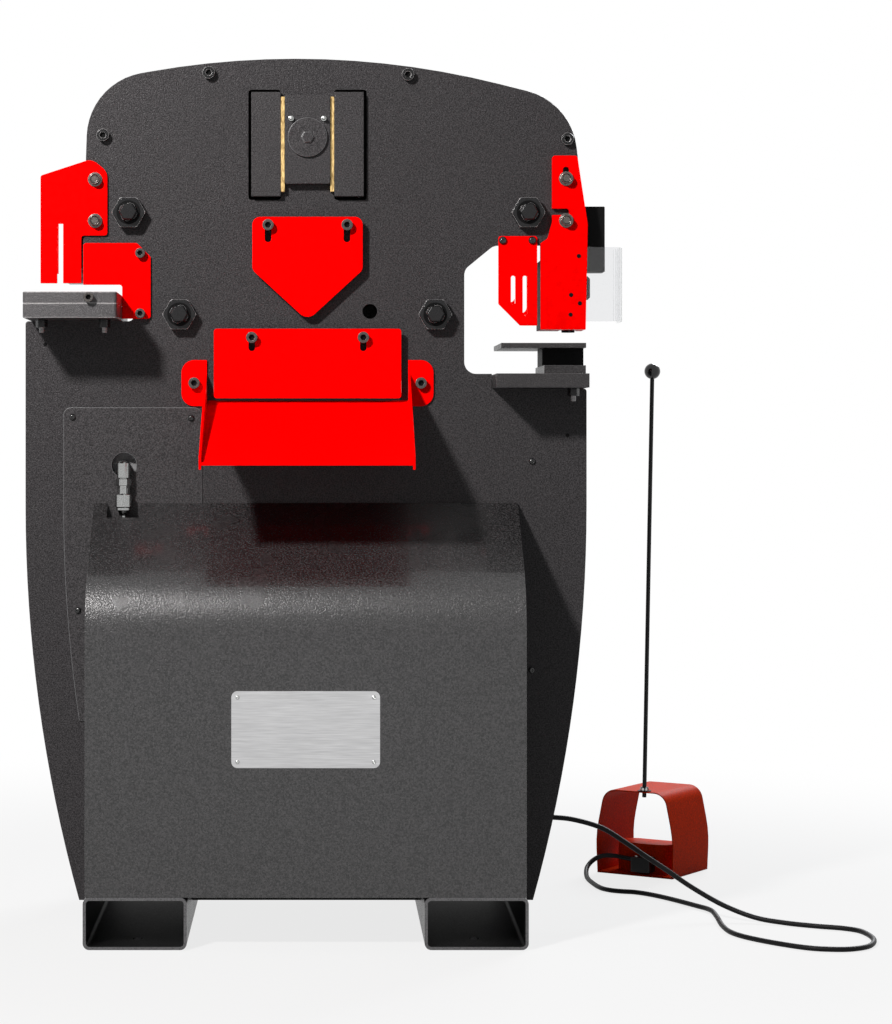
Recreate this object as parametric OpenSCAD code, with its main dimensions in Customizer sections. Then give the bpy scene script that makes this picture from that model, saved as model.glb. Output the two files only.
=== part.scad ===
// Ironworker: a hydraulic punching, shearing and notching machine with a foot pedal on a cord.
// Two side plates stand on fork tubes. A beam slides down between them and works every station.
// Millimetres. X runs to the right, Y to the back, Z up. The origin is on the floor,
// in the middle of the four anchor holes.

/* [Base] */
// Length of a fork tube, front to back
tube_len = 840; // [780:10:920]
// Width of a fork tube
tube_w = 203; // [190:1:215]
// Height of a fork tube
tube_h = 102; // [95:1:110]
// Wall of a fork tube
tube_wall = 6; // [4:0.5:9]
// Distance over the outer sides of both fork tubes
tube_span = 870; // [840:2:900]
// Radius of the floor anchor holes
anchor_r = 11; // [8:0.5:14]
// Distance between the two anchor holes of a tube
anchor_pitch = 660; // [600:10:720]

/* [Side plates] */
// Height of the crown above the floor
plate_h = 1768; // [1740:1:1800]
// Half of the width across the belly
plate_half_w = 571; // [550:1:590]
// Thickness of a side plate
plate_t = 25; // [20:1:30]
// Space between the two side plates
plate_gap = 58; // [54:1:64]
// Height of the lower edge of the plates
plate_foot_z = 58; // [50:1:80]
// Drop of the notching table's seat below the crown
notch_seat_drop = 532; // [523:1:543]
// Drop of the punching table's seat below the crown
punch_seat_drop = 669; // [658:1:683]
// Drop of the lower edge of the punch jaw below the crown
jaw_drop = 377; // [368:1:383]
// Distance of the punch throat's wall from the middle
throat_x = 322; // [315:1:335]

/* [Covers] */
// Depth of the front cover
cover_depth = 235; // [220:1:260]
// Width of the front and rear covers
cover_w = 862; // [820:2:866]
// Drop of the front cover's back edge below the crown
cover_drop = 902; // [870:1:940]
// Fall of the front cover's sloping top from back to front
cover_fall = 173; // [150:1:200]
// Bend radius of the front cover
cover_bend_r = 145; // [80:1:160]
// Sheet thickness of both covers
sheet = 3; // [2:0.5:5]
// Depth of the rear cover
rear_depth = 360; // [320:5:400]
// Drop of the rear cover's top below the crown
rear_drop = 748; // [730:2:800]

/* [Beam] */
// Travel of the beam
stroke = 32; // [20:1:34]
// Thickness of the beam
beam_t = 50; // [44:1:52]
// Diameter of the main pin
main_pin_d = 56; // [44:1:60]
// Width of the slide blocks
block_w = 92; // [80:1:100]
// Height of the slide blocks
block_h = 180; // [170:1:190]
// Thickness of the slide blocks
block_t = 20; // [14:1:26]
// Width of a gib block
gib_w = 60; // [50:1:66]
// Height of a gib block
gib_h = 212; // [205:1:220]
// Thickness of a brass gib strip
strip_t = 8; // [5:0.5:10]

/* [Cylinder] */
// Bore of the hydraulic cylinder
bore_d = 160; // [120:2:170]
// Wall of the cylinder barrel
barrel_wall = 14; // [10:1:18]
// Distance of the barrel's top below the front cover's back edge
barrel_below = 116; // [100:2:180]
// Diameter of the piston rod
rod_d = 50; // [36:1:52]

/* [Guards] */
// Sheet thickness of the red guards
guard_t = 6; // [4:0.5:8]
// Distance of the two shear guards from the plate
standoff = 16; // [12:1:20]
// Travel of the angle shear guard on its slots
guard_travel = 28; // [16:1:30]
// Travel of the flat bar guard on its slots
flat_travel = 21; // [14:1:24]
// Travel of the stripper on its slots
stripper_travel = 18; // [10:1:20]
// Width of the guard slots
slot_w = 13; // [12.5:0.1:15]
// Inner width of the chute
chute_w = 409; // [390:1:420]
// Reach of the chute in front of the plate
chute_reach = 291; // [260:1:320]

/* [Punch and notch stations] */
// Diameter of the punch
punch_d = 27; // [16:0.5:30]
// Diameter of the die
die_d = 50; // [46:1:56]
// Width of the notching punch
notch_w = 104; // [96:1:110]
// Clearance between punches and dies
die_gap = 0.8; // [0.3:0.1:1.2]

/* [Foot pedal] */
// Width of the pedal hood
hood_w = 190; // [180:1:205]
// Depth of the pedal hood
hood_d = 183; // [175:1:195]
// Height of the pedal hood
hood_h = 193; // [180:1:205]
// Sheet thickness of the pedal hood
hood_t = 2.5; // [2:0.5:4]
// Length of the carrying rod above the hood
wand_len = 948; // [800:2:1000]
// Diameter of the carrying rod
wand_d = 9.5; // [8:0.5:12]
// Diameter of the pedal cord
cord_d = 10.5; // [8:0.5:11]

/* [Hidden] */
$fn = 48;

// Overrun of every cut, clearances and the step of rounded corners in degrees
overrun = 2;
slide_gap = 0.3;
seat_gap = 0.05;
arc_step = 10;
arc_smooth = 90;

// Planes of the plate stack, from front to back
plate_y = -tube_len / 2 + cover_depth;
mid_y = plate_y + plate_t + plate_gap / 2;
back_y = mid_y + plate_gap / 2 + plate_t;
stack_t = 2 * plate_t + plate_gap;
tube_x = (tube_span - tube_w) / 2;

// Heights of the seats, the jaw and the covers
notch_seat_z = plate_h - notch_seat_drop;
punch_seat_z = plate_h - punch_seat_drop;
jaw_z = plate_h - jaw_drop;
cover_top_z = plate_h - cover_drop;
cover_corner_z = cover_top_z - cover_fall;
rear_top_z = plate_h - rear_drop;

// Middle of the shear stations and of the slide
station_x = 3;

// A corner [x, y, r] of an outline, rounded between its two neighbours
function flat(p) = [p[0], p[1]];
function unit(v) = v / norm(v);
function turn(a, b) = (b - a + 540) % 360 - 180;
function arc(c, r, a, d) =
  let (n = max(2, ceil(abs(d) / min(arc_step, arc_smooth / sqrt(r)))))
  [for (i = [0:n]) c + r * [cos(a + d * i / n), sin(a + d * i / n)]];
function corner(p, q, s, r) =
  r == 0 ? [q] :
  let (a = unit(p - q), b = unit(s - q), half = acos(a * b) / 2)
  let (c = q + unit(a + b) * r / sin(half), t = r / tan(half))
  let (from = q + a * t - c, to = q + b * t - c)
  let (first = atan2(from[1], from[0]))
  arc(c, r, first, turn(first, atan2(to[1], to[0])));
function rounded(c) =
  let (n = len(c))
  [for (i = [0:n - 1]) each corner(flat(c[(i + n - 1) % n]), flat(c[i]), flat(c[(i + 1) % n]), c[i][2])];

// A rectangle with rounded corners, given by its low and high corner
function box_corners(x0, y0, x1, y1, r) = [[x0, y0, r], [x1, y0, r], [x1, y1, r], [x0, y1, r]];

// Stands a flat outline up in the XZ plane, from y0 to y0 + t
module standing(y0, t) {
  translate([0, y0 + t, 0]) rotate([90, 0, 0]) linear_extrude(t) children();
}

// Turns an outline drawn in YZ so that it runs along X, from x0 to x0 + l
module along_x(x0, l) {
  translate([x0, 0, 0]) rotate([90, 0, 90]) linear_extrude(l) children();
}

// A round bar along Y
module bar_y(x, y0, z, r, l) {
  translate([x, y0, z]) rotate([-90, 0, 0]) cylinder(r = r, h = l);
}

// A box given by its low and high corner
module block(low, high) {
  translate(low) cube(high - low);
}

// An upright slot with round ends, from its lower to its upper centre
module slot(x, z0, z1, w) {
  translate([x - w / 2, z0]) square([w, z1 - z0]);
  translate([x, z0]) circle(d = w);
  translate([x, z1]) circle(d = w);
}

// Repeats what is on the front plate on the rear plate
module both_faces() {
  children();
  translate([0, 2 * mid_y, 0]) mirror([0, 1, 0]) children();
}

// Hexagon head or nut along -Y from a face, with its outer edge turned down
module hex_y(x, y, z, af, h) {
  chamfer_share = 0.55;
  translate([x, y, z]) rotate([90, 0, 0]) intersection() {
    cylinder(d = af / cos(30), h = h, $fn = 6);
    cylinder(r1 = af, r2 = af * chamfer_share, h = h);
  }
}

// Socket head along -Y from a face
module socket_y(x, y, z, d, h) {
  socket_share = 0.55;
  depth_share = 0.5;
  translate([x, y, z]) rotate([90, 0, 0]) difference() {
    cylinder(d = d, h = h);
    translate([0, 0, h * (1 - depth_share)]) cylinder(d = d * socket_share, h = h, $fn = 6);
  }
}

// FORK TUBES

tube_corner_r = 13;

module fork_tube(side) {
  inner_r = tube_corner_r - tube_wall;
  x0 = -tube_w / 2;
  color("#2c2b2b") translate([side * tube_x, 0, 0]) difference() {
    standing(-tube_len / 2, tube_len) difference() {
      polygon(rounded(box_corners(x0, 0, -x0, tube_h, tube_corner_r)));
      polygon(rounded(
        box_corners(x0 + tube_wall, tube_wall, -x0 - tube_wall, tube_h - tube_wall, inner_r)));
    }
    for (end = [-1, 1])
      translate([0, end * anchor_pitch / 2, -overrun]) cylinder(r = anchor_r, h = tube_wall + 2 * overrun);
  }
}

module fork_tube_left() { fork_tube(-1); }

module fork_tube_right() { fork_tube(1); }

// SIDE PLATES

// Lower flanks: a long arc that draws the plates in towards the floor
flank_r = 3000;
flank_drop = 908;
flank_z = plate_h - flank_drop;
flank_steps = 16;
// Head: crown, shoulders and edges
crown_r = 1700;
crown_x = 40;
crown_rise = 40;
shoulder_r = 134;
left_head_x = -456;
left_shoulder_x = -443;
left_shoulder_drop = 46;
right_shoulder_x = 540;
right_shoulder_drop = 86;
jaw_end_x = 574;
edge_r = 6;
// Throats of the notching and punching stations
notch_wall_x = -350;
notch_roof_drop = 438;
notch_roof_z = plate_h - notch_roof_drop;
throat_r = 24;
jaw_slope_w = 61;
jaw_slope_h = 50;
throat_floor_rise = 30;
table_step_x = 378;
// How much wider the throats of the rear plate are
rear_relief = 14;

function flank_x(z, inset) = plate_half_w - inset - flank_r + sqrt(pow(flank_r, 2) - pow(flank_z - z, 2));
function flank(side, inset, z0, z1) =
  [for (i = [0:flank_steps]) let (z = z0 + (z1 - z0) * i / flank_steps) [side * flank_x(z, inset), z, 0]];

function plate_corners(g) = concat(
  flank(-1, 0, plate_foot_z, flank_z),
  [
    [-plate_half_w, notch_seat_z, edge_r],
    [notch_wall_x + g, notch_seat_z, throat_r / 2],
    [notch_wall_x + g, notch_roof_z + g, throat_r],
    [left_head_x, notch_roof_z + g, edge_r],
    [left_shoulder_x, plate_h - left_shoulder_drop, shoulder_r],
    [crown_x, plate_h + crown_rise, crown_r],
    [right_shoulder_x, plate_h - right_shoulder_drop, shoulder_r],
    [jaw_end_x, jaw_z + g, edge_r],
    [throat_x + jaw_slope_w - g, jaw_z + g, throat_r],
    [throat_x - g, jaw_z - jaw_slope_h, throat_r],
    [throat_x - g, punch_seat_z + throat_floor_rise - g, throat_r],
    [table_step_x, punch_seat_z + throat_floor_rise - g, 0],
    [table_step_x, punch_seat_z, 0],
    [plate_half_w, punch_seat_z, edge_r]
  ],
  flank(1, 0, flank_z, plate_foot_z));

// Tie studs: two high, two low, at [x, z]
stud_d = 38;
stud_high_drop = 312;
stud_low_rise = 13;
stud_high_xs = [-360, 451];
stud_low_xs = [-257, 262];
studs = concat([for (x = stud_high_xs) [x, plate_h - stud_high_drop]],
  [for (x = stud_low_xs) [x, notch_seat_z + stud_low_rise]]);

// Slide: the pin's height, the gib windows and the running slot
pin_drop = 160;
pin_z = plate_h - pin_drop;
gib_drop = 13;
gib_mid_z = pin_z - gib_drop;
gib_gap = 6;
pin_slot_gap = 2;
pin_slot_w = main_pin_d + 2 * pin_slot_gap;
gib_in = block_w / 2 + slide_gap + strip_t;

// Angle shear: a square hole on its corner, half of its diagonal
angle_drop = 423;
angle_z = plate_h - angle_drop;
angle_half = 88;
angle_blade_w = 16;
// Flat shear: slot, its blades and the bar shear hole
flat_half_w = 191;
flat_low_drop = 708;
flat_low_z = plate_h - flat_low_drop;
flat_blade_h = 30;
flat_clear = 25;
flat_slot_h = 85;
bar_hole_x = 130;
bar_hole_drop = 512;
bar_hole_z = plate_h - bar_hole_drop;
bar_hole_d = 30;
// Cylinder: its axis, its window and its lower pin
cyl_x = -319;
cyl_pin_z = 150;
cyl_pin_d = 40;
barrel_d = bore_d + 2 * barrel_wall;
barrel_rise = 40;
barrel_z = cyl_pin_z + barrel_rise;
barrel_len = cover_top_z - barrel_below - barrel_z;
window_gap = 3;
// Hand hole behind the access panel and the port for attachments
hand_x0 = -335;
hand_x1 = -235;
hand_low_drop = 878;
hand_z0 = plate_h - hand_low_drop;
hand_high_drop = 728;
hand_z1 = plate_h - hand_high_drop;
hand_r = 12;
port_x = -370;
port_drop = 825;
port_z = plate_h - port_drop;
port_hole_d = 50;

function diamond(half) = [[station_x - half, angle_z], [station_x, angle_z - half],
  [station_x + half, angle_z], [station_x, angle_z + half]];

// Window through which the cylinder barrel stands out of the plates
module barrel_window() {
  half_w = barrel_d / 2 + window_gap;
  top_z = barrel_z + barrel_len + window_gap;
  polygon(rounded(box_corners(cyl_x - half_w, barrel_z - window_gap, cyl_x + half_w, top_z, edge_r)));
}

module plate_cuts() {
  for (p = studs) translate(p) circle(d = stud_d + 2 * seat_gap);
  slot(station_x, pin_z - stroke, pin_z, pin_slot_w);
  for (side = [-1, 1]) {
    x0 = station_x + side * gib_in;
    x1 = station_x + side * (gib_in + gib_w + gib_gap);
    half_h = gib_h / 2 + gib_gap;
    polygon(rounded(box_corners(min(x0, x1), gib_mid_z - half_h, max(x0, x1), gib_mid_z + half_h, edge_r)));
  }
  polygon(diamond(angle_half));
  translate([station_x - flat_half_w, flat_low_z]) square([2 * flat_half_w, flat_slot_h]);
  translate([cyl_x, cyl_pin_z]) circle(d = cyl_pin_d + 2 * seat_gap);
  barrel_window();
  for (side = [-1, 1])
    translate([side * tube_x - tube_w / 2, plate_foot_z - overrun])
      square([tube_w, tube_h - plate_foot_z + overrun]);
}

module front_plate() {
  color("#3e3c3b") standing(plate_y, plate_t) difference() {
    polygon(rounded(plate_corners(0)));
    plate_cuts();
    polygon(rounded(box_corners(hand_x0, hand_z0, hand_x1, hand_z1, hand_r)));
    translate([port_x, port_z]) circle(d = port_hole_d);
    translate([bar_hole_x, bar_hole_z]) circle(d = bar_hole_d);
  }
}

module rear_plate() {
  color("#3e3c3b") standing(back_y - plate_t, plate_t) difference() {
    polygon(rounded(plate_corners(rear_relief)));
    plate_cuts();
  }
}

// What ties the plates together
spacer_d = 60;
nut_af = 60;
nut_h = 24;
stud_over = 11;
stud_square = 33;
stud_turn = 20;

module spacer_tubes() {
  color("#4a4a4b") standing(plate_y + plate_t, plate_gap) for (p = studs) translate(p) difference() {
    circle(d = spacer_d);
    circle(d = stud_d + 2 * seat_gap);
  }
}

module tie_studs() {
  color("#333335") for (p = studs) {
    bar_y(p[0], plate_y - nut_h, p[1], stud_d / 2, stack_t + 2 * nut_h);
    standing(plate_y - nut_h - stud_over, stack_t + 2 * (nut_h + stud_over)) intersection() {
      translate(p) rotate(stud_turn) square(stud_square, center = true);
      translate(p) circle(d = stud_d);
    }
  }
}

module tie_nuts() {
  color("#2a2a2c") both_faces() difference() {
    for (p = studs) hex_y(p[0], plate_y, p[1], nut_af, nut_h);
    for (p = studs) bar_y(p[0], plate_y - nut_h - overrun, p[1], stud_d / 2 + seat_gap, nut_h + 2 * overrun);
  }
}

// Strip that closes the crown between the plates
strip_cover_t = 5;
strip_cover_drop = 195;
strip_cover_z = plate_h - strip_cover_drop;

module top_cover() {
  color("#3a3837") standing(plate_y + plate_t, plate_gap) intersection() {
    difference() {
      polygon(rounded(plate_corners(0)));
      offset(delta = -strip_cover_t) polygon(rounded(plate_corners(0)));
    }
    translate([-plate_half_w, strip_cover_z]) square([2 * plate_half_w, plate_h]);
  }
}

// Cap screws of the crown, at [x, z]
crown_screw_d = 25;
crown_screw_h = 14;
crown_screw_xs = [-198, 207, -413, 531];
crown_screw_drops = [27, 31, 154, 162];
crown_screws = [for (i = [0:len(crown_screw_xs) - 1]) [crown_screw_xs[i], plate_h - crown_screw_drops[i]]];

module plate_screws() {
  color("#2a2a2c") both_faces() for (p = crown_screws)
    socket_y(p[0], plate_y, p[1], crown_screw_d, crown_screw_h);
}

// SLIDE: gibs, brass strips, blocks and pin

gib_proud = 15;
strip_proud = 14;
strip_h = 193;

module gib_blocks() {
  color("#403e3d") both_faces() for (side = [-1, 1]) {
    x = station_x + side * (gib_in + gib_w / 2);
    translate([x - gib_w / 2, plate_y - gib_proud, gib_mid_z - gib_h / 2])
      cube([gib_w, gib_proud + plate_t, gib_h]);
  }
}

module gib_strips() {
  color("#c8a45a") both_faces() for (side = [-1, 1]) {
    x = station_x + side * (gib_in - strip_t / 2);
    translate([x - strip_t / 2, plate_y - strip_proud, gib_mid_z - strip_h / 2])
      cube([strip_t, strip_proud, strip_h]);
  }
}

block_drop = 4;
block_mid_z = pin_z - block_drop;
pin_in = 12;
block_edge_r = 4;

module slide_blocks() {
  x0 = station_x - block_w / 2;
  z0 = block_mid_z - block_h / 2;
  y0 = plate_y - slide_gap - block_t;
  color("#454342") both_faces() difference() {
    standing(y0, block_t) polygon(rounded(box_corners(x0, z0, x0 + block_w, z0 + block_h, block_edge_r)));
    bar_y(station_x, y0 + block_t - pin_in, pin_z, main_pin_d / 2 + seat_gap, pin_in + overrun);
  }
}

module main_pin() {
  reach = stack_t / 2 + slide_gap + pin_in;
  color("#77797c") bar_y(station_x, mid_y - reach, pin_z, main_pin_d / 2, 2 * reach);
}

cap_d = 80;
cap_t = 7;
cap_boss_d = 24;
cap_boss_h = 6;

module pin_caps() {
  face_y = plate_y - slide_gap - block_t;
  color("#4b4948") both_faces() translate([station_x, face_y, pin_z]) rotate([90, 0, 0]) {
    cylinder(d = cap_d, h = cap_t);
    translate([0, 0, cap_t]) cylinder(d = cap_boss_d, h = cap_boss_h, $fn = 6);
  }
}

// BEAM AND ITS TOOLS

beam_y = mid_y - beam_t / 2;
beam_left_x = -488;
beam_right_x = 611;
arm_rise = 15;
arm_z = notch_roof_z + arm_rise;
left_arm_top_drop = 278;
left_arm_top_z = plate_h - left_arm_top_drop;
arm_knee_x = -400;
arm_knee_drop = 208;
arm_knee_z = plate_h - arm_knee_drop;
hub_half_w = 176;
hub_drop = 56;
hub_top_z = plate_h - hub_drop;
right_knee_x = 520;
ram_top_drop = 296;
ram_top_z = plate_h - ram_top_drop;
ram_neck_x = 560;
ram_drop = 430;
ram_z = plate_h - ram_drop;
ram_x = 485;
jaw_over = 11;
body_half_w = 202;
body_wide_drop = 468;
body_wide_z = plate_h - body_wide_drop;
blade_top_z = flat_low_z + flat_slot_h;
body_slope = 45;
beam_hole_gap = 4;
beam_corner_r = 8;
ram_r = 2;
fork_w = 84;
fork_top_gap = 2;
fork_t = 26;
fork_rise = 35;
fork_z = arm_z + fork_rise;
eye_gap = 0.5;

beam_corners = [
  [beam_left_x, arm_z, beam_corner_r], [beam_left_x, left_arm_top_z, beam_corner_r],
  [arm_knee_x, arm_knee_z, beam_corner_r],
  [station_x - hub_half_w, hub_top_z, beam_corner_r], [station_x + hub_half_w, hub_top_z, beam_corner_r],
  [right_knee_x, arm_knee_z, beam_corner_r], [ram_neck_x, ram_top_z, beam_corner_r],
  [beam_right_x, ram_top_z, ram_r], [beam_right_x, ram_z, ram_r],
  [ram_x, ram_z, ram_r], [ram_x, jaw_z + jaw_over, beam_corner_r],
  [throat_x + jaw_slope_w, jaw_z + jaw_over, beam_corner_r],
  [station_x + body_half_w, body_wide_z, beam_corner_r], [station_x + body_half_w, blade_top_z, 0],
  [station_x - body_half_w, blade_top_z, 0], [station_x - body_half_w, body_wide_z, beam_corner_r],
  [station_x - body_half_w - body_slope, arm_z, beam_corner_r]];

module beam() {
  color("#232324") difference() {
    standing(beam_y, beam_t) difference() {
      polygon(rounded(beam_corners));
      for (p = [studs[0], studs[1]]) slot(p[0], p[1], p[1] + stroke, spacer_d + 2 * beam_hole_gap);
      translate([station_x, pin_z]) circle(d = main_pin_d + 2 * seat_gap);
      polygon(diamond(angle_half));
      translate([bar_hole_x, bar_hole_z]) circle(d = bar_hole_d);
      translate([cyl_x, fork_z]) circle(d = cyl_pin_d + 2 * seat_gap);
    }
    block([cyl_x - fork_w / 2, mid_y - fork_t / 2, arm_z - overrun],
      [cyl_x + fork_w / 2, mid_y + fork_t / 2, fork_z + fork_w / 2 + fork_top_gap]);
  }
}

// Shear blades: the lower ones sit in the front plate, the upper ones on the front of the beam
blade_t = 20;
shear_gap = 0.4;
blade_back_gap = 1;
lower_blade_t = plate_t - blade_back_gap;

module flat_blade_lower() {
  color("#8d9094") standing(beam_y - shear_gap - lower_blade_t, lower_blade_t)
    translate([station_x - flat_half_w, flat_low_z]) square([2 * flat_half_w, flat_blade_h]);
}

module flat_blade_upper() {
  z = flat_low_z + flat_blade_h + flat_clear;
  color("#8d9094") standing(beam_y, blade_t)
    translate([station_x - flat_half_w, z]) square([2 * flat_half_w, blade_top_z - z]);
}

module angle_blade_lower() {
  inner = angle_half - angle_blade_w * sqrt(2);
  color("#8d9094") standing(beam_y - shear_gap - lower_blade_t, lower_blade_t) polygon([
    [station_x - angle_half, angle_z], [station_x, angle_z - angle_half], [station_x + angle_half, angle_z],
    [station_x + inner, angle_z], [station_x, angle_z - inner], [station_x - inner, angle_z]]);
}

angle_tip_share = 0.41;

module angle_blade_upper() {
  half = angle_half * (1 + angle_tip_share) / 2;
  z = angle_z + angle_half - half;
  color("#8d9094") standing(beam_y, blade_t) polygon([
    [station_x - half, z], [station_x, z - half], [station_x + half, z], [station_x, z + half]]);
}

// Punch: holder, coupling nut and punch turned as one stack under the ram
punch_x = 538;
holder_d = 64;
coupling_d = 90;
coupling_h = 48;
coupling_gap = 8;
coupling_z = ram_z - coupling_gap - coupling_h;
coupling_edge = 5;
punch_tip_drop = 553;
punch_tip_z = plate_h - punch_tip_drop;

module punch_holder() {
  r = coupling_d / 2;
  top_z = coupling_z + coupling_h;
  color("#1e1e1f") translate([punch_x, mid_y, 0]) rotate_extrude() polygon([
    [0, ram_z], [holder_d / 2, ram_z], [holder_d / 2, top_z], [r - coupling_edge, top_z],
    [r, top_z - coupling_edge], [r, coupling_z + coupling_edge], [r - coupling_edge, coupling_z],
    [punch_d / 2, coupling_z], [punch_d / 2, punch_tip_z], [0, punch_tip_z]]);
}

notch_tip_drop = 453;
notch_tip_z = plate_h - notch_tip_drop;

module notch_punch() {
  color("#8d9094") block([notch_x - notch_w / 2, beam_y, notch_tip_z],
    [notch_x + notch_w / 2, beam_y + beam_t, arm_z]);
}

// Piston, rod and rod eye
piston_h = 60;
piston_drop = 170;
piston_z = barrel_z + barrel_len - piston_drop;
head_h = 45;

module piston_rod() {
  eye_r = fork_w / 2 - window_gap;
  eye_t = fork_t - 2 * eye_gap;
  color("#b4b7ba") {
    difference() {
      union() {
        translate([cyl_x, mid_y, piston_z]) cylinder(d = bore_d - 2 * seat_gap, h = piston_h);
        translate([cyl_x, mid_y, piston_z]) cylinder(d = rod_d, h = arm_z - overrun - piston_z);
        bar_y(cyl_x, mid_y - eye_t / 2, fork_z, eye_r, eye_t);
      }
      bar_y(cyl_x, mid_y - beam_t, fork_z, cyl_pin_d / 2 + seat_gap, 2 * beam_t);
    }
    bar_y(cyl_x, beam_y, fork_z, cyl_pin_d / 2, beam_t);
  }
}

// CYLINDER AND POWER UNIT

lug_w = 90;
lug_drop = 42;
lug_gap = 1;
lug_t = plate_gap - 2 * lug_gap;
floor_t = 30;

module cylinder_barrel() {
  top_z = barrel_z + barrel_len;
  color("#30302f") difference() {
    union() {
      translate([cyl_x, mid_y, barrel_z]) cylinder(d = barrel_d, h = barrel_len);
      block([cyl_x - lug_w / 2, mid_y - lug_t / 2, cyl_pin_z - lug_drop],
        [cyl_x + lug_w / 2, mid_y + lug_t / 2, barrel_z]);
    }
    translate([cyl_x, mid_y, barrel_z + floor_t]) cylinder(d = bore_d, h = barrel_len - floor_t - head_h);
    translate([cyl_x, mid_y, top_z - head_h - overrun])
      cylinder(d = rod_d + 2 * seat_gap, h = head_h + 2 * overrun);
    bar_y(cyl_x, mid_y - lug_w, cyl_pin_z, cyl_pin_d / 2 + seat_gap, 2 * lug_w);
  }
}

pin_over = 6;

module cylinder_pin() {
  color("#6d6f72") bar_y(cyl_x, plate_y - pin_over, cyl_pin_z, cyl_pin_d / 2, stack_t + 2 * pin_over);
}

// Room in the rear cover, from left to right: tank, pump and motor
tank_side_gap = 26;
tank_back_gap = 40;
pump_gap = 35;
pump_len = 110;
motor_len = 330;
motor_side_gap = 51;
motor_x0 = cover_w / 2 - motor_side_gap - motor_len;
tank_x0 = tank_side_gap - cover_w / 2;
tank_x1 = motor_x0 - pump_len - pump_gap;
tank_y0 = back_y + tank_back_gap;
tank_d = 280;
tank_h = 320;
tank_r = 12;

module reservoir() {
  color("#4d4b4a") translate([0, 0, tube_h]) linear_extrude(tank_h)
    polygon(rounded(box_corners(tank_x0, tank_y0, tank_x1, tank_y0 + tank_d, tank_r)));
}

motor_d = 215;
motor_back = 180;
motor_y = back_y + motor_back;
motor_foot_h = 22;
motor_foot_w = 190;
fan_share = 0.22;
fan_d_share = 0.94;

module motor() {
  z = tube_h + motor_foot_h + motor_d / 2;
  color("#55585a") {
    translate([motor_x0, motor_y, z]) rotate([0, 90, 0]) {
      cylinder(d = motor_d, h = motor_len * (1 - fan_share));
      cylinder(d = motor_d * fan_d_share, h = motor_len);
    }
    block([motor_x0, motor_y - motor_foot_w / 2, tube_h],
      [tube_x, motor_y + motor_foot_w / 2, tube_h + motor_foot_h]);
    block([motor_x0, motor_y - motor_foot_w / 4, tube_h],
      [motor_x0 + motor_len / 2, motor_y + motor_foot_w / 4, z]);
  }
}

pump_d = 130;
pump_flange_t = 18;
pump_flange_d = 175;

module pump() {
  z = tube_h + motor_foot_h + motor_d / 2;
  color("#6a6c6e") translate([motor_x0, motor_y, z]) rotate([0, -90, 0]) {
    cylinder(d = pump_flange_d, h = pump_flange_t);
    cylinder(d = pump_d, h = pump_len);
  }
}

valve_w = 160;
valve_d = 100;
valve_h = 85;
coil_d = 46;
coil_len = 70;

module valve_block() {
  z = tube_h + tank_h;
  x = (tank_x0 + tank_x1) / 2;
  y = tank_y0 + tank_d / 2;
  color("#7c7f82") {
    block([x - valve_w / 2, y - valve_d / 2, z], [x + valve_w / 2, y + valve_d / 2, z + valve_h]);
    for (side = [-1, 1])
      translate([x + side * valve_w / 2, y, z + valve_h / 2]) rotate([0, side * 90, 0])
        cylinder(d = coil_d, h = coil_len);
  }
}

// COVERS AND PANELS

panel_t = 3;

// Section of a cover in YZ, going out from y = 0 by its depth, inset by a wall
function cover_section(depth, low_z, corner_z, top_z, r, wall, over) =
  let (lean = atan2(top_z - corner_z, depth))
  let (drop = wall / cos(lean))
  [[over, low_z - over, 0], [wall - depth, low_z - over, 0],
   [wall - depth, corner_z + wall * tan(lean) - drop, r - wall], [over, top_z - drop + over * tan(lean), 0]];

module cover_shell(depth, corner_z, top_z, r) {
  difference() {
    along_x(-cover_w / 2, cover_w) polygon(rounded(cover_section(depth, tube_h, corner_z, top_z, r, 0, 0)));
    along_x(-cover_w / 2 + sheet, cover_w - 2 * sheet)
      polygon(rounded(cover_section(depth, tube_h, corner_z, top_z, r, sheet, overrun)));
  }
}

// Notch in the back edge of the front cover, round the hanging coupler
cover_notch_w = 66;
cover_notch_d = 38;

module front_cover() {
  back = plate_y - panel_t;
  color("#3b3a39") difference() {
    translate([0, back, 0])
      cover_shell(cover_depth - panel_t, cover_corner_z, cover_top_z, cover_bend_r);
    block([port_x - cover_notch_w / 2, back - cover_notch_d, cover_corner_z],
      [port_x + cover_notch_w / 2, back + overrun, cover_top_z + overrun]);
  }
}

rear_fall = 110;
rear_corner_z = rear_top_z - rear_fall;
rear_bend_r = 60;
louvre_count = 7;
louvre_pitch = 40;
louvre_w = 260;
louvre_h = 12;
louvre_z = 340;

module rear_cover() {
  color("#3b3a39") translate([0, back_y, 0]) mirror([0, 1, 0]) difference() {
    cover_shell(rear_depth, rear_corner_z, rear_top_z, rear_bend_r);
    for (i = [0:louvre_count - 1], side = [-1, 1])
      translate([side * cover_w / 4 - louvre_w / 2, -rear_depth - overrun, louvre_z + i * louvre_pitch])
        cube([louvre_w, sheet + 2 * overrun, louvre_h]);
    bar_x_hole();
  }
}

// Hole of the cord gland in the right wall of the rear cover
gland_back = 24;
gland_y = back_y + gland_back;
gland_z = 208;
gland_d = 20;

module bar_x_hole() {
  translate([cover_w / 2 - sheet - overrun, -(gland_y - back_y), gland_z]) rotate([0, 90, 0])
    cylinder(d = gland_d, h = sheet + 2 * overrun);
}

panel_inset = 77;
panel_x1 = -212;
panel_top_drop = 707;
panel_top_z = plate_h - panel_top_drop;
panel_rise = 233;
panel_low_z = barrel_z + panel_rise;
panel_r = 16;

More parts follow.
